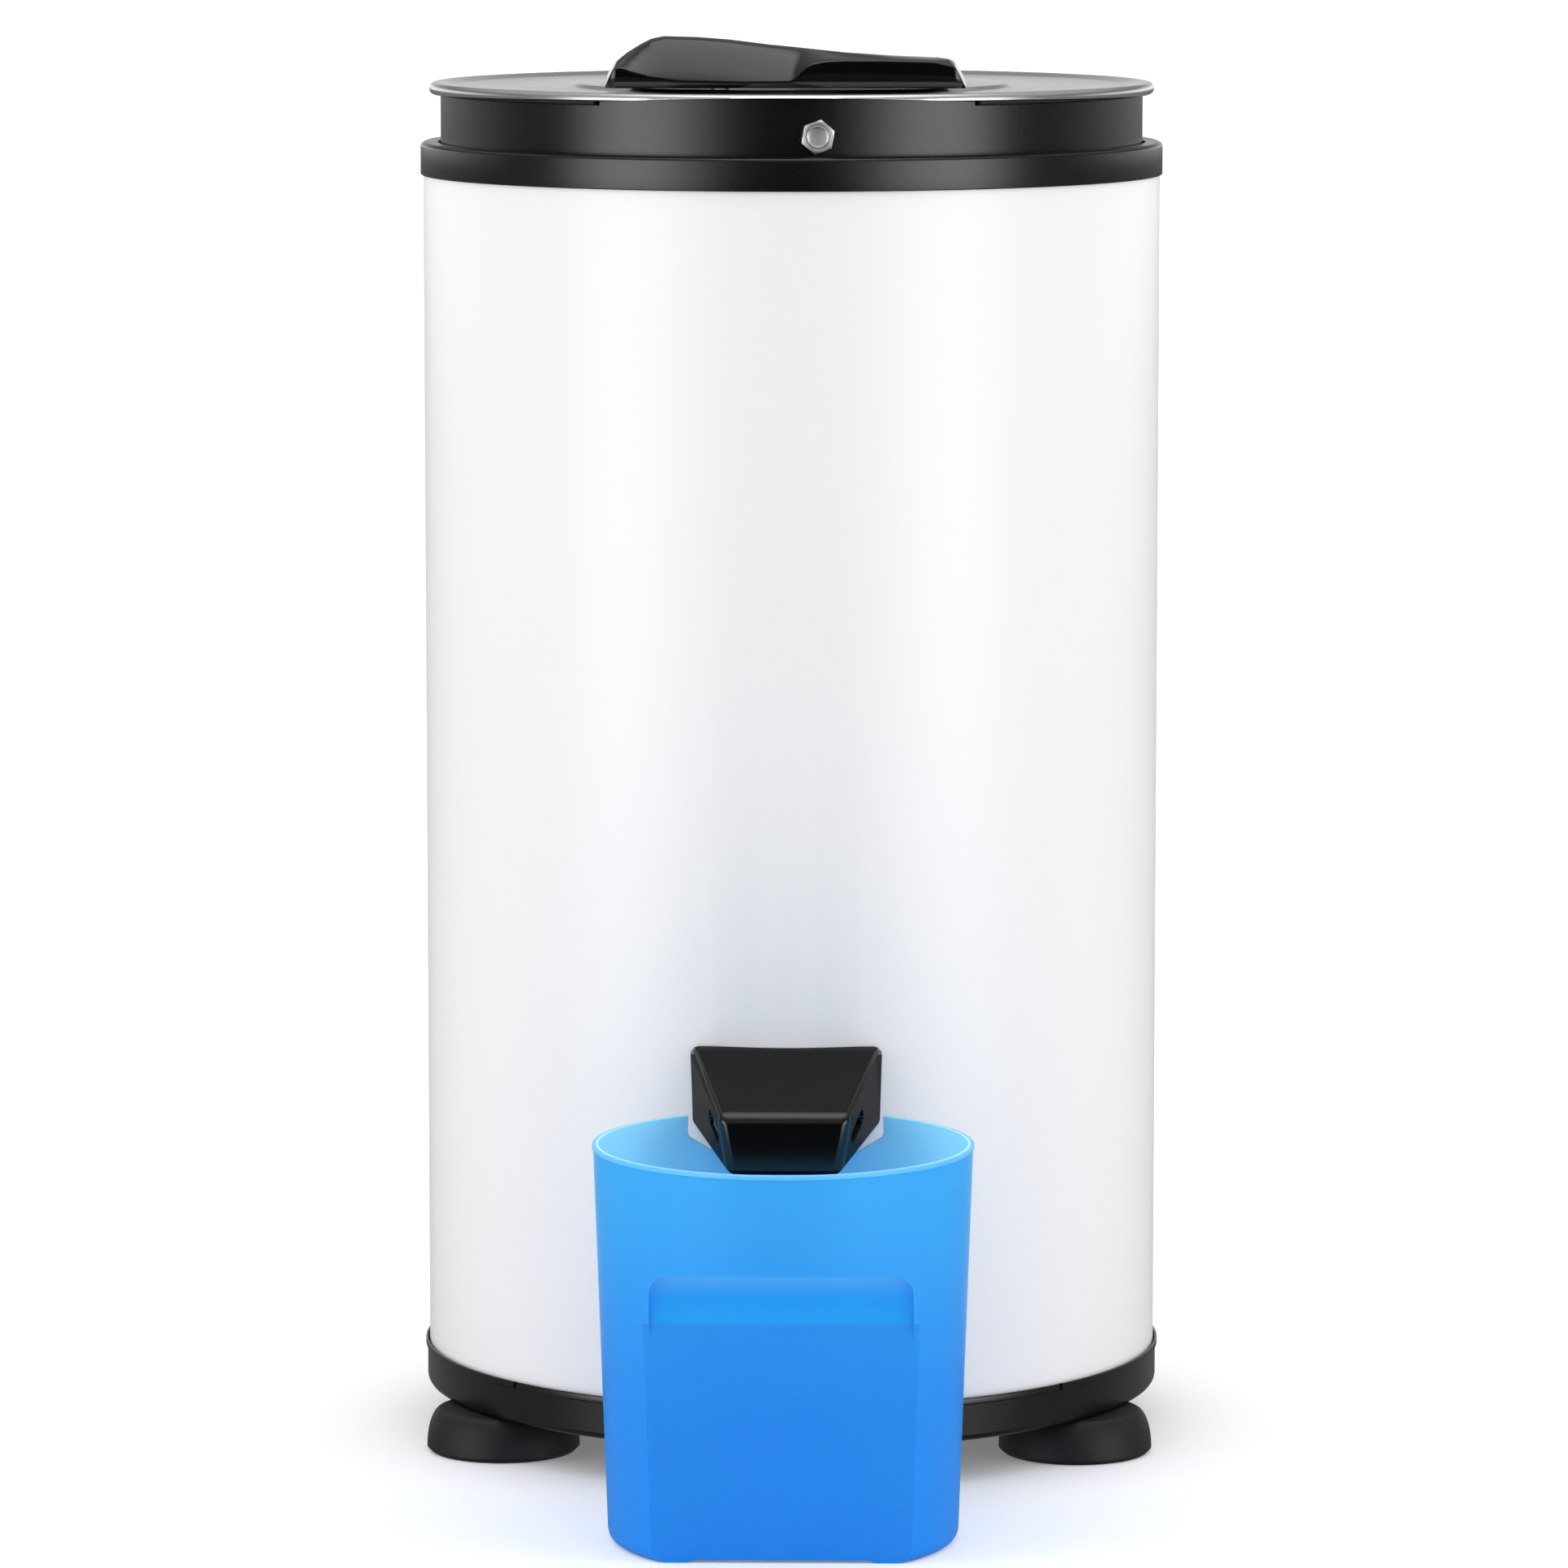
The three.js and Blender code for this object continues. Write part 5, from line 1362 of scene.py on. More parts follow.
@dataclass
class Lever:
    """The wave-shaped handle on the lid."""

    finishes: Finishes
    outline: Profile = (
        (-79.6, 605.2), (-79.6, 606.9, 2.0), (-78.9, 611.1, 4.0), (-75.3, 616.5, 6.0),
        (-70.7, 620.1, 6.0), (-64.9, 623.7, 6.0), (-59.9, 626.2, 6.0), (-54.5, 627.3, 6.0),
        (-40.1, 626.9, 12.0), (-25.7, 625.8, 12.0), (-8.8, 623.7, 12.0), (24.6, 620.4, 20.0),
        (46.2, 619.0, 20.0), (64.2, 618.3, 9.0), (69.6, 617.6, 3.0), (72.1, 616.3, 3.0),
        (75.3, 611.1, 4.0), (76.8, 607.5, 3.0), (77.1, 605.2),
    )
    edge: Profile = (
        (-79.6, 606.0), (-76.0, 613.5), (-73.0, 614.6), (-68.0, 612.6), (-60.0, 610.4), (-48.0, 608.8),
        (-20.0, 608.2), (2.0, 608.4), (5.0, 612.0), (9.0, 615.4), (16.0, 617.0), (24.0, 617.4),
        (40.0, 617.4), (62.7, 616.9), (72.0, 614.8), (77.1, 605.0),
    )
    middle: float = -80.0
    half_depth: float = 18.0
    end_rounding: float = 5.5
    foot_inset: float = 2.5
    foot_rise: float = 3.0
    bottom: float = 605.2
    station_gap: float = 2.5
    crown_steps: int = 9
    foot_share: float = 0.7
    front_rounds: Span = (1.0, 0.9)
    grip_start: Span = (0.2, 0.25)
    grip_bow: float = 1.35
    back_fall: float = 0.45
    back_bow: float = 2.4
    back_reach: float = 0.98
    rear_foot: float = 0.8
    edge_round: float = 4.0
    edge_drop: float = 0.8
    least_gap: float = 0.15
    pivot: Span = (-30.0, -80.0)
    socket_radius: float = 4.3
    socket_ends: Span = (590.0, 612.9)

    @staticmethod
    def level(line: Sequence[tuple[float, float]], x: float) -> float:
        """The height of a line of points at a place along it."""
        for (x0, z0), (x1, z1) in zip(line, line[1:]):
            if x <= x1:
                return z0 + (z1 - z0) * max(x - x0, 0) / max(x1 - x0, LEAST_RUN)
        return line[-1][1]

    def section(self, x: float, top: float, edge: float) -> list[Point]:
        """The outline across the handle: an upright front, a sloping grip and a rounded back.

        Args:
            x: where the section stands.
            top: its highest level.
            edge: the level where the upright front ends.

        Returns:
            The points round the section, as many for each place.
        """
        first, last = self.outline[0][0], self.outline[-1][0]
        reach = self.end_rounding
        near = min(max(min(x - first, last - x), 0), reach)
        half = self.half_depth - reach + math.sqrt(reach ** 2 - (reach - near) ** 2)
        front, rear = self.middle - half, self.middle + half
        foot = min(self.foot_rise, (edge - self.bottom) * self.foot_share)
        foot_round, edge_round = self.front_rounds
        across, up = self.grip_start
        points = rounded([
            (front + self.foot_inset, self.bottom),
            (front, self.bottom + foot, foot_round),
            (front, edge, edge_round),
            (front + half * across, edge + (top - edge) * up),
        ], closed=False, steps=3)
        shares = [step / self.crown_steps for step in range(1, self.crown_steps + 1)]
        for share in shares:
            place = across + (1 - across) * share
            points.append((front + half * place, edge + (top - edge) * (1 - (1 - place) ** self.grip_bow)))
        fall = (top - self.bottom) * self.back_fall
        for share in shares:
            drop = fall * (1 - math.sqrt(1 - share ** self.back_bow * self.back_reach))
            points.append((self.middle + half * share, top - drop))
        points += [(rear, self.bottom + foot * self.rear_foot), (rear - self.foot_inset, self.bottom)]
        return [(x, y, z) for y, z in points]

    def build(self) -> None:
        """Carries the section along the handle and sinks the socket of the pivot."""
        chain = rounded(self.outline, closed=False)[1:]
        edge = rounded([(x, z, self.edge_round) for x, z in self.edge], closed=False)
        places = [chain[0][0]]
        for x, _ in chain[1:]:
            gap = x - places[-1]
            if gap > self.least_gap:
                count = math.ceil(gap / self.station_gap)
                places += [places[-1] + gap * step / count for step in range(1, count)] + [x]
        sections = []
        for x in places:
            top = self.level(chain, x)
            sections.append(self.section(x, top, min(self.level(edge, x), top - self.edge_drop)))
        handle = Form.loft("wave_handle", sections)
        handle.cut(Form.rod("socket", self.socket_radius, *self.socket_ends, (*self.pivot, 0)))
        handle.finish(Body.LEVER, Slot.GLOSS, self.finishes.gloss, "lid_handle", smooth=36)


@dataclass
class Spout:
    """The gloss hood over the drain hose."""

    finishes: Finishes
    top: float = 196.0
    half_width: float = 41.3
    rear: float = -157.5
    shoulder: float = -165.5
    rear_low: float = 161.0
    crease: Point = (28.0, -215.0, 174.5)
    lip: Point = (23.7, -219.0, 149.0)
    wall: float = 2.5
    mouth_drop: float = 20.0
    edge_round: float = 3.6
    inner_round: float = 1.0
    least_edge: float = 20.0
    casing_clear: float = 164.3
    casing_levels: Span = (100.0, 250.0)
    slot_place: Span = (-199.0, 167.5)
    slot_size: Span = (19.0, 7.0)
    slot_round: float = 3.4
    slot_reach: float = 60.0
    slot_lean: float = 28.0
    matt_side: float = 0.93
    matt_top: float = 0.88

    def hood(self, name: str, inset: float, drop: float) -> Form:
        """A tapered hood, drawn in by the inset and reaching down by the drop."""
        half = self.half_width - inset
        crease_half, crease_y, crease_z = self.crease
        lip_half, lip_y, lip_z = self.lip
        form = Form.prism(name, [
            (self.rear, self.rear_low - drop),
            (self.rear, self.top - inset),
            (self.shoulder, self.top - inset),
            (crease_y + inset, crease_z - inset),
            (lip_y + inset, lip_z - drop),
        ], -half, half, Axis.X)
        front = crease_y + inset + 1
        middle = crease_z - inset - 3
        upper = ((crease_half - inset) / half, 1, 1)
        lower = ((lip_half - inset) / half, 1, 1)
        form.stretch(lambda place: place.y < front and place.z > middle, upper, (0, 0, 0))
        form.stretch(lambda place: place.y < front and place.z < middle, lower, (0, 0, 0))
        return form

    def build(self) -> None:
        """Builds the hood with the slots in its side walls."""
        hood = self.hood("spout_hood", 0, 0)
        hood.bevel(self.edge_round, segments=5, angle=self.least_edge)
        hollow = self.hood("hollow", self.wall, self.mouth_drop)
        hood.cut(hollow.bevel(self.inner_round, segments=2, angle=self.least_edge))
        hood.cut(Form.rod("casing_clear", self.casing_clear, *self.casing_levels, (0, 0, 0), sides=ROUND))
        slot_y, slot_z = self.slot_place
        length, height = (size / 2 for size in self.slot_size)
        slot = Form.block("slot", (-self.slot_reach, slot_y - length, slot_z - height),
                          (self.slot_reach, slot_y + length, slot_z + height))
        slot.bevel(self.slot_round, segments=6).turn(self.slot_lean, (0, slot_y, slot_z), Axis.X)
        hood.cut(slot)
        hood.finish(Body.CASING, Slot.GLOSS, self.finishes.gloss, "spout", smooth=30, weigh=True)
        hood.second_material(
            self.finishes.matt, lambda normal: abs(normal.x) > self.matt_side or normal.z > self.matt_top)


@dataclass
class Basket:
    """The spinning drum, its hub cap and the press plate inside."""

    finishes: Finishes
    radius: float = 122.0
    wall: float = 1.5
    bottom: float = 209.0
    top: float = 542.0
    shaft_hole: float = 6.4
    base_rounds: Span = (8.0, 6.5)
    top_rounds: Span = (6.0, 4.5)
    curl: Profile = ((106.0, 542.0, 2.0), (106.0, 535.0, 0.6), (107.4, 535.0, 0.6), (107.4, 540.5, 0.6))
    rib_levels: tuple[float, ...] = (292.0, 375.0, 458.0)
    rib_steps: tuple[Span, ...] = ((-6.0, 0.0), (-2.0, 2.5), (2.0, 2.5), (6.0, 0.0))
    rib_round: float = 2.0
    drill_reach: Span = (-114.5, -125.0)
    drill_sides: int = 10
    hole_radius: float = 2.3
    hole_columns: int = 36
    hole_levels: tuple[float, ...] = tuple(
        base + step for base in (232.0, 307.0, 390.0, 473.0) for step in (0.0, 15.0, 30.0, 45.0))
    cap: Profile = (
        (0.0, 230.3), (20.5, 230.3, 4.0), (43.0, 213.0, 3.0), (43.6, 210.6), (46.0, 210.6, 0.5),
        (46.0, 213.6, 2.0), (22.0, 232.5, 5.0), (0.0, 232.5),
    )
    plate: Profile = (
        (0.0, 232.8), (100.0, 232.8, 1.0), (100.0, 237.8, 0.9), (97.5, 237.8, 0.9), (97.5, 235.3, 1.0),
        (35.0, 235.3, 0.3), (35.0, 236.5, 0.6), (33.0, 236.5, 0.6), (33.0, 235.3, 0.3), (0.0, 235.3),
    )
    plate_round: float = 0.5
    plate_levels: Span = (229.8, 240.8)
    sector_radius: float = 29.0
    sector_hub: float = 9.0
    cross_width: float = 9.0
    cross_reach: float = 60.0
    large_hole: float = 5.0
    hole_sides: tuple[int, int] = (20, 32)
    plate_holes: tuple[tuple[float, float, tuple[float, ...]], ...] = (
        (81.0, 8.0, (0.0,)), (78.5, 3.8, (15.0, 30.0)), (62.0, 5.4, (22.5,)),
        (62.0, 3.8, (0.0,)), (41.0, 3.8, (0.0,)),
    )
    groups: int = 8

    def build(self) -> None:
        """Builds every piece."""
        self.build_drum()
        self.build_cap()
        self.build_plate()

    def build_drum(self) -> None:
        """The drawn basket with its ribs and rows of holes."""
        inner = self.radius - self.wall
        outside = [(self.radius, self.bottom, self.base_rounds[0])]
        inside = [(inner, self.bottom + self.wall, self.base_rounds[1])]
        for level in self.rib_levels:
            for offset, depth in self.rib_steps:
                outside.append((self.radius - depth, level + offset, self.rib_round))
                inside.append((inner - depth, level + offset, self.rib_round))
        drum = Form.turned("basket", [
            (self.shaft_hole, self.bottom),
            *outside,
            (self.radius, self.top, self.top_rounds[0]),
            *self.curl,
            (inner, self.top - self.wall, self.top_rounds[1]),
            *reversed(inside),
            (self.shaft_hole, self.bottom + self.wall),
        ], FAIR, steps=3)
        drills = [
            Form.rod("drill", self.hole_radius, *self.drill_reach, (0, 0, level), Axis.Y, self.drill_sides)
            for level in self.hole_levels
        ]
        drum.cut(drills[0].with_parts(*drills[1:]).ring(self.hole_columns))
        drum.finish(Body.DRUM, Slot.DRUM, self.finishes.drum, "drum", smooth=40)

    def build_cap(self) -> None:
        """The white cap over the drum's nut."""
        cap = Form.turned("nut_cover", self.cap, MEDIUM)
        cap.finish(Body.DRUM, Slot.WHITE, self.finishes.white, "hub_cap")

    def build_plate(self) -> None:
        """The perforated plate that is laid on the washing."""
        plate = Form.turned("press_disc", self.plate, FAIR)
        low, high = self.plate_levels
        sectors = Form.turned("sectors", [
            (self.sector_hub, low), (self.sector_radius, low),
            (self.sector_radius, high), (self.sector_hub, high),
        ], COARSE)
        half, reach = self.cross_width / 2, self.cross_reach
        sectors.cut(Form.block("arm", (-reach, -half, low - 1), (reach, half, high + 1)),
                    Form.block("arm", (-half, -reach, low - 1), (half, reach, high + 1)))
        drills = [
            Form.rod("drill", hole, low, high, polar(pitch, turn),
                     sides=self.hole_sides[hole > self.large_hole])
            for pitch, hole, turns in self.plate_holes for turn in turns
        ]
        drills[0].with_parts(*drills[1:]).ring(self.groups)
        plate.cut(sectors, drills[0]).bevel(self.plate_round, segments=2)
        plate.finish(Body.PLATE, Slot.WHITE, self.finishes.white, "press_plate")


@dataclass
class Works:
    """Seals, buffers, springs, drain hose and brake cable inside the casing."""

    finishes: Finishes
    mouth_seal: Profile = (
        (114.9, 552.1, 0.4), (126.6, 552.1, 1.0), (126.6, 555.5, 1.4), (119.5, 557.0, 1.0),
        (117.5, 560.0, 0.6), (114.9, 560.0, 0.6),
    )
    shaft_seal: Profile = (
        (8.4, 186.0, 0.3), (14.0, 186.0, 0.6), (14.0, 192.0, 0.9), (11.0, 192.0, 0.4), (8.4, 189.8, 0.4),
    )
    mount_radius: float = 112.0
    buffer_bore: float = 7.4
    buffer_radius: float = 13.4
    buffer_swell: float = 1.6
    buffer_low: float = 70.0
    buffer_height: float = 14.0
    buffer_steps: int = 10
    spring_radius: float = 11.5
    wire_radius: float = 1.5
    spring_low: float = 85.8
    spring_high: float = 156.2
    spring_turns: float = 7.0
    turn_steps: int = 20
    closed_turns: float = 0.9
    closed_pitch: float = 3.15
    hose_radius: float = 11.4
    hose_bore: float = 9.8
    hose_level: float = 172.0
    hose_ends: Span = (144.0, 178.0)
    hose_rounds: tuple[float, float, float] = (0.6, 0.5, 0.3)
    near_cuff: Span = (9.5, 10.0)
    both_cuffs: float = 13.0
    rib_count: int = 5
    rib_depth: float = 1.0
    rib_shares: Span = (0.25, 0.75)
    cable_radius: float = 2.5
    cable_sides: int = 16
    cable_start: Point = (74.3, 45.0, 36.0)
    cable_run: tuple[float, float, float] = (152.3, 25.0, 115.0)
    cable_top: float = 571.7
    knot_steps: int = 6
    nipple_radius: float = 3.0
    nipple_ends: Span = (0.1, 3.3)
    nipple_round: float = 0.4
    wire_ends: Span = (1.0, 2.0)
    bare_radius: float = 1.0
    bare_sides: int = 12
    out_shares: tuple[float, ...] = (0, 0.184, 0.404, 0.592, 0.78, 0.922, 0.988, 1)
    side_shares: tuple[float, ...] = (0, 0, 0.078, 0.233, 0.492, 0.777, 0.953, 1)
    rise_shares: tuple[float, ...] = (0, 0, 0.013, 0.076, 0.228, 0.456, 0.709, 1)
    run_shares: tuple[float, ...] = (0.14, 0.4, 0.71, 1)

    def build(self) -> None:
        """Builds every piece."""
        rubber = self.finishes.rubber
        for name, profile, sides, node in (("neck_seal", self.mouth_seal, ROUND, "mouth_seal"),
                                           ("lip_seal", self.shaft_seal, SMALL, "shaft_seal")):
            Form.turned(name, profile, sides).finish(Body.CASING, Slot.RUBBER, rubber, node)
        self.build_mounts()
        self.build_hose()
        self.build_cable()

    def build_mounts(self) -> None:
        """A barrel buffer and a coil spring on each post."""
        steps, low = self.buffer_steps, self.buffer_low
        barrel = [(self.buffer_radius + self.buffer_swell * math.sin(math.pi * step / steps),
                   low + self.buffer_height * step / steps) for step in range(steps + 1)]
        ends = [(self.buffer_bore, low), (self.buffer_bore, low + self.buffer_height)]
        buffer = Form.turned("buffer_rear", [ends[0], *barrel, ends[1]], SMALL)
        count = int(self.spring_turns * self.turn_steps)
        flat = self.closed_turns / self.spring_turns
        low, high = self.spring_low, self.spring_high
        pitch = self.closed_pitch
        path = []
        for step in range(count + 1):
            share = step / count
            inner = min(max((share - flat) / (1 - 2 * flat), 0), 1)
            closed = min(share, flat) / flat + max(share - 1 + flat, 0) / flat
            level = low + pitch * closed + (high - low - 2 * pitch) * inner
            path.append(polar(self.spring_radius, FULL_TURN * self.spring_turns * share, level))
        spring = Form.tube("coil_rear", path, self.wire_radius)
        for form in (buffer, spring):
            form.move(polar(self.mount_radius, QUARTER))
        finish_thirds(buffer, "buffer", "mount_buffer", Slot.RUBBER, self.finishes.rubber)
        finish_thirds(spring, "coil", "mount_spring", Slot.STEEL, self.finishes.steel)

    def build_hose(self) -> None:
        """The ribbed hose from the tub's nozzle out through the casing."""
        near, far = self.hose_ends
        end_round, rib_round, bore_round = self.hose_rounds
        cuff, first = self.near_cuff
        fall, rise = self.rib_shares
        span = (far - near - self.both_cuffs) / self.rib_count
        wide = self.hose_radius
        outer: list[Corner] = [(wide, near, end_round), (wide, near + cuff, rib_round)]
        for rib in range(self.rib_count):
            start = near + first + rib * span
            outer += [(wide - self.rib_depth, start + span * fall, rib_round),
                      (wide, start + span * rise, rib_round)]
        outer.append((wide, far, end_round))
        bore = [(self.hose_bore, far, bore_round), (self.hose_bore, near, bore_round)]
        hose = Form.turned("ribbed_hose", [*outer, *bore], SMALL)
        hose.turn(QUARTER, axis=Axis.X).move((0, 0, self.hose_level))
        hose.finish(Body.CASING, Slot.RUBBER, self.finishes.rubber, "drain_hose")

    def build_cable(self) -> None:
        """The brake's sheathed cable, with the bare wire and its nipple at the lever."""
        start = Vector(self.cable_start)
        radius, angle, level = self.cable_run
        run = polar(radius, angle, level)
        knots = [
            start + Vector(((run.x - start.x) * out, (run.y - start.y) * side, (run.z - start.z) * rise))
            for out, side, rise in zip(self.out_shares, self.side_shares, self.rise_shares)
        ]
        knots += [run + Vector((0, 0, (self.cable_top - level) * share)) for share in self.run_shares]
        low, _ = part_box("brake_cable")
        tip = low.x / MM
        ends = [tip + reach for reach in self.nipple_ends]
        sheath = Form.tube("brake_sheath", smooth_path(knots, self.knot_steps), self.cable_radius,
                           self.cable_sides)
        nipple = Form.rod("nipple", self.nipple_radius, *ends, start, Axis.X, TINY)
        nipple.bevel(self.nipple_round, segments=2)
        wire = Form.rod("wire", self.bare_radius, tip + self.wire_ends[0], start.x + self.wire_ends[1],
                        start, Axis.X, self.bare_sides)
        sheath.add(wire, nipple)
        sheath.finish(Body.CASING, Slot.RUBBER, self.finishes.rubber, "brake_cable")


@dataclass
class Bucket:
    """The blue catch bucket with its grip hollow and the notch under the spout."""

    finishes: Finishes
    centre: float = -247.5
    base_radius: float = 74.0
    top_radius: float = 80.0
    height: float = 169.0
    wall: float = 2.2
    kick: Profile = ((0.0, 1.2), (62.0, 1.2, 1.0), (64.0, 0.0, 1.0))
    base_round: float = 6.0
    lip_round: float = 0.4
    lip: Profile = ((80.45, 167.2, 0.2), (80.45, 169.0, 0.7), (79.0, 169.0), (0.0, 169.0))
    edge_round: float = 0.9
    least_edge: float = 30.0
    hollow: Profile = (
        (0.0, 4.2), (60.0, 4.2, 1.0), (62.0, 3.0, 1.0), (71.8, 3.0, 3.8), (77.8, 169.2), (78.4, 174.0),
        (0.0, 174.0),
    )
    front_reach: float = 120.0
    panel_corner: Span = (110.0, -20.0)
    panel_spread: float = 1.3
    panel_steps: int = 8
    panel_low: float = 50.0
    panel_lean: float = 1.8
    panel_level: float = 100.0
    panel_rise: float = 3.0
    pick_margin: float = 5.0
    grip_half: float = 55.0
    grip_low: float = 85.0
    grip_top: float = 121.0
    grip_corner: float = 7.5
    grip_back: float = 47.0
    grip_lean: float = 10.0
    notch: Profile = (
        (-24.3, 148.0, 4.0), (24.3, 148.0, 4.0), (41.9, 160.0, 3.0), (41.9, 179.0), (-41.9, 179.0),
        (-41.9, 160.0, 3.0),
    )
    notch_reach: Span = (20.0, 100.0)
    sides: int = 256

    def radius(self, level: float) -> float:
        """The outer radius at a level."""
        return self.base_radius + (self.top_radius - self.base_radius) * level / self.height

    def grip(self, name: str, grow: float) -> Form:
        """What is taken off the round: the flat panel low on the front and the grip hollow over it.

        Args:
            name: the form's name.
            grow: how far it reaches past the outer form on all sides, for the inside of the wall.

        Returns:
            The closed form.
        """
        far = self.centre - self.front_reach
        corner, base = self.panel_corner
        arc = [(-corner, base), (corner, base)]
        spread = self.radius(self.panel_level)
        for step in range(2 * self.panel_steps + 1):
            across = spread * (1 - step / self.panel_steps)
            rise = self.panel_rise * (1 - (across / spread) ** 2)
            arc.append((across * self.panel_spread, self.panel_level + rise + grow))
        middle = self.centre - self.panel_low
        panel = Form.prism(name, arc, middle + grow, far, Axis.Y)
        margin = self.pick_margin
        panel.shift(lambda place: place.y > middle - margin and place.z > self.panel_level - margin,
                    (0, -self.panel_lean, 0))
        half, top, fillet = self.grip_half + grow, self.grip_top + grow, self.grip_corner + grow
        outline = rounded([
            (-half, self.grip_low), (half, self.grip_low), (half, top, fillet), (-half, top, fillet),
        ], steps=8)
        back = self.centre - self.grip_back + grow
        hollow = Form.prism("grip_hollow", outline, back, far, Axis.Y)
        hollow.turn(-self.grip_lean, (0, back, top), Axis.X)
        return panel.add(hollow)

    def build(self) -> None:
        """Builds the bucket."""
        lip_low = self.lip[0][1]
        place = (0.0, self.centre)
        cup = Form.turned("catch_bucket", [
            *self.kick,
            (self.base_radius, 0, self.base_round),
            (self.radius(lip_low), lip_low, self.lip_round),
            *self.lip,
        ], self.sides, place)
        cup.cut(self.grip("panel", 0)).bevel(self.edge_round, angle=self.least_edge)
        hollow = Form.turned("hollow", self.hollow, self.sides, place)
        cup.cut(hollow.cut(self.grip("panel_inside", self.wall)))
        near, far = (self.centre + reach for reach in self.notch_reach)
        cup.cut(Form.prism("notch", rounded(self.notch), near, far, Axis.Y))
        cup.finish(Body.BUCKET, Slot.BLUE, self.finishes.blue, "bucket")


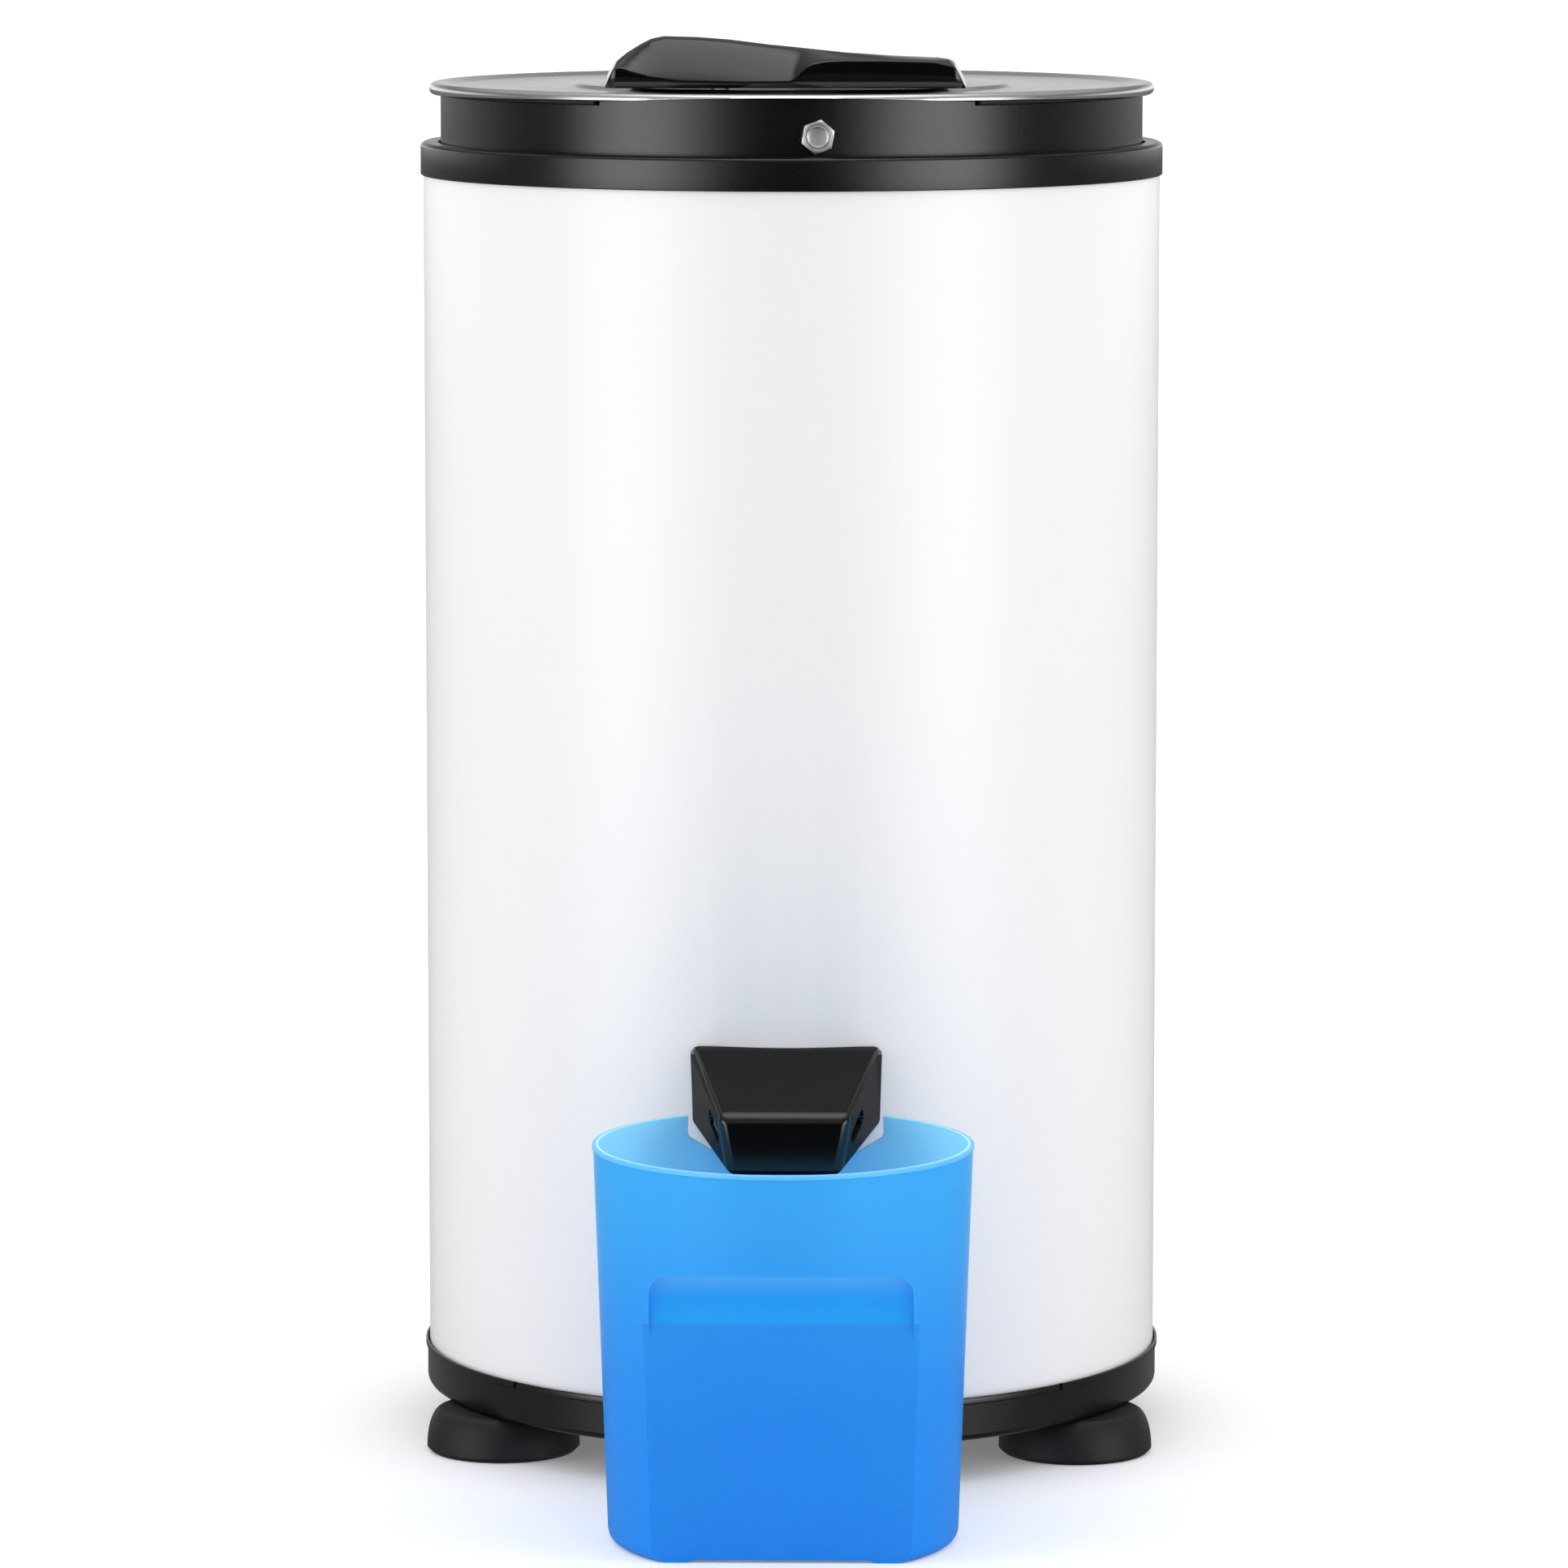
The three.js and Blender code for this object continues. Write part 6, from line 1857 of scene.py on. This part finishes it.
@dataclass
class Studio:
    """Floor, world and camera."""

    lens: float = 177.44
    place: Point = (0.0485, -3.3781, 0.7316)
    pitch: float = 7.299
    yaw: float = 0.861
    floor_size: float = 60.0
    fill: float = 0.835
    side_light: float = 1.5
    front_mirror: float = 0.03
    side_mirror: float = 0.13
    back_mirror: float = 1.3
    low_mirror: float = 0.22
    top_mirror: float = 2.0
    sky_mirror: float = 0.42
    softbox: float = 4.6
    box_starts: Span = (0.24, 0.86)
    box_ends: Span = (0.94, 1.4)
    box_low: Span = (-0.36, -0.22)
    box_high: Span = (0.2, 0.45)
    side_starts: Span = (0.85, 1.25)
    side_ends: Span = (1.35, 1.9)
    beside_starts: Span = (0.9, 1.5)
    beside_high: Span = (0.3, 0.6)
    beside_fade: float = 0.7
    behind_starts: Span = (1.5, 2.3)
    wall_low: Span = (-0.05, 0.02)
    wall_high: Span = (0.04, 0.28)
    horizon: Span = (-0.2, 0.0)
    ceiling_starts: Span = (0.3, 0.55)
    overhead_starts: Span = (0.8, 0.99)
    floor_cells: int = 8
    sensor: float = 36.0
    view_reach: float = 100.0

    def build(self) -> None:
        """Builds the studio."""
        self.build_floor()
        self.build_world()
        self.build_camera()
        bpy.context.scene.view_settings.view_transform = "Standard"

    def build_floor(self) -> None:
        """A large pale floor."""
        Form.deselect()
        bpy.ops.mesh.primitive_grid_add(x_subdivisions=self.floor_cells, y_subdivisions=self.floor_cells,
                                        size=self.floor_size)
        floor = bpy.context.object
        floor.name = "studio_floor"
        floor.data.materials.append(Ground("studio_ground").make())
        floor.visible_glossy = False

    def build_world(self) -> None:
        """An even fill with light from both sides, and what bright surfaces mirror.

        They mirror a dark room in front with a tall softbox at each side, a pale wall behind that
        fades upwards into a dim ceiling, a dark floor and a soft light overhead.
        """
        world = bpy.data.worlds.new("studio_world")
        bpy.context.scene.world = world
        desk = Desk(world)
        x, y, z = desk.parts(desk.node("ShaderNodeTexCoord").outputs["Generated"])
        turn = x.apply("ABSOLUTE").apply("ARCTAN2", 0 - y)
        box = turn.smooth_step(*self.box_starts) * (1 - turn.smooth_step(*self.box_ends))
        box = box * z.smooth_step(*self.box_low) * (1 - z.smooth_step(*self.box_high))
        side = turn.smooth_step(*self.side_starts) * (1 - turn.smooth_step(*self.side_ends))
        beside = turn.smooth_step(*self.beside_starts)
        beside = beside * (1 - self.beside_fade * z.smooth_step(*self.beside_high))
        wall = turn.smooth_step(*self.behind_starts) * z.smooth_step(*self.wall_low)
        wall = wall * (1 - z.smooth_step(*self.wall_high))
        above = z.smooth_step(*self.horizon)
        rays = desk.node("ShaderNodeLightPath")
        seen = Wire(desk, rays.outputs["Is Camera Ray"])
        passed = Wire(desk, rays.outputs["Is Transmission Ray"])
        mirrored = Wire(desk, rays.outputs["Is Glossy Ray"])
        backdrop = seen.apply("MAXIMUM", passed)
        room = self.front_mirror + (self.side_mirror - self.front_mirror) * beside
        room = room * above + self.low_mirror * beside * (1 - above)
        room = room + self.back_mirror * wall + self.top_mirror * z.smooth_step(*self.overhead_starts)
        room = room + self.sky_mirror * z.smooth_step(*self.ceiling_starts)
        gloss = room.apply("MAXIMUM", self.softbox * box)
        plain = (self.fill + self.side_light * side) * (1 - mirrored) + gloss * mirrored
        strength = backdrop + plain * (1 - backdrop)
        background = desk.node("ShaderNodeBackground", values={0: (1, 1, 1, 1), 1: strength})
        desk.node("ShaderNodeOutputWorld", values={0: background.outputs[0]})

    def build_camera(self) -> None:
        """The camera of the photograph."""
        data = bpy.data.cameras.new("view_camera")
        camera = bpy.data.objects.new("view_camera", data)
        bpy.context.scene.collection.objects.link(camera)
        camera.location = self.place
        camera.rotation_euler = (math.pi / 2 - math.radians(self.pitch), 0, math.radians(self.yaw))
        data.lens = self.lens
        data.sensor_width = self.sensor
        data.clip_end = self.view_reach
        bpy.context.scene.camera = camera


def dress_frame(finishes: Finishes) -> None:
    """Gives every CAD node that is still shown a finish."""
    looks = {
        "latch_keeper": finishes.steel,
        "lid_switch": finishes.grey,
        "capacitor": finishes.white,
        "tub": finishes.grey,
        "motor_bell_upper": finishes.motor,
        "motor_bell_lower": finishes.motor,
        "motor_stator": finishes.core,
        "motor_rotor": finishes.core,
        "brake_pad": finishes.rubber,
        "switch_plunger": finishes.white,
    }
    for name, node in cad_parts.items():
        if node.hide_render:
            continue
        node.data.materials.clear()
        node.data.materials.append(looks.get(name, finishes.steel))
        LOG.info("%s keeps its CAD shape", name)


def main() -> None:
    """Builds the whole scene."""
    logging.basicConfig(level=logging.INFO, format="%(name)s: %(message)s")
    Studio().build()
    finishes = Finishes()
    for assembly in (Casing, Collar, Lid, Lever, Spout, Basket, Works, Bucket):
        LOG.info("building %s", assembly.__name__)
        assembly(finishes).build()
    dress_frame(finishes)


if __name__ == "__main__":
    main()
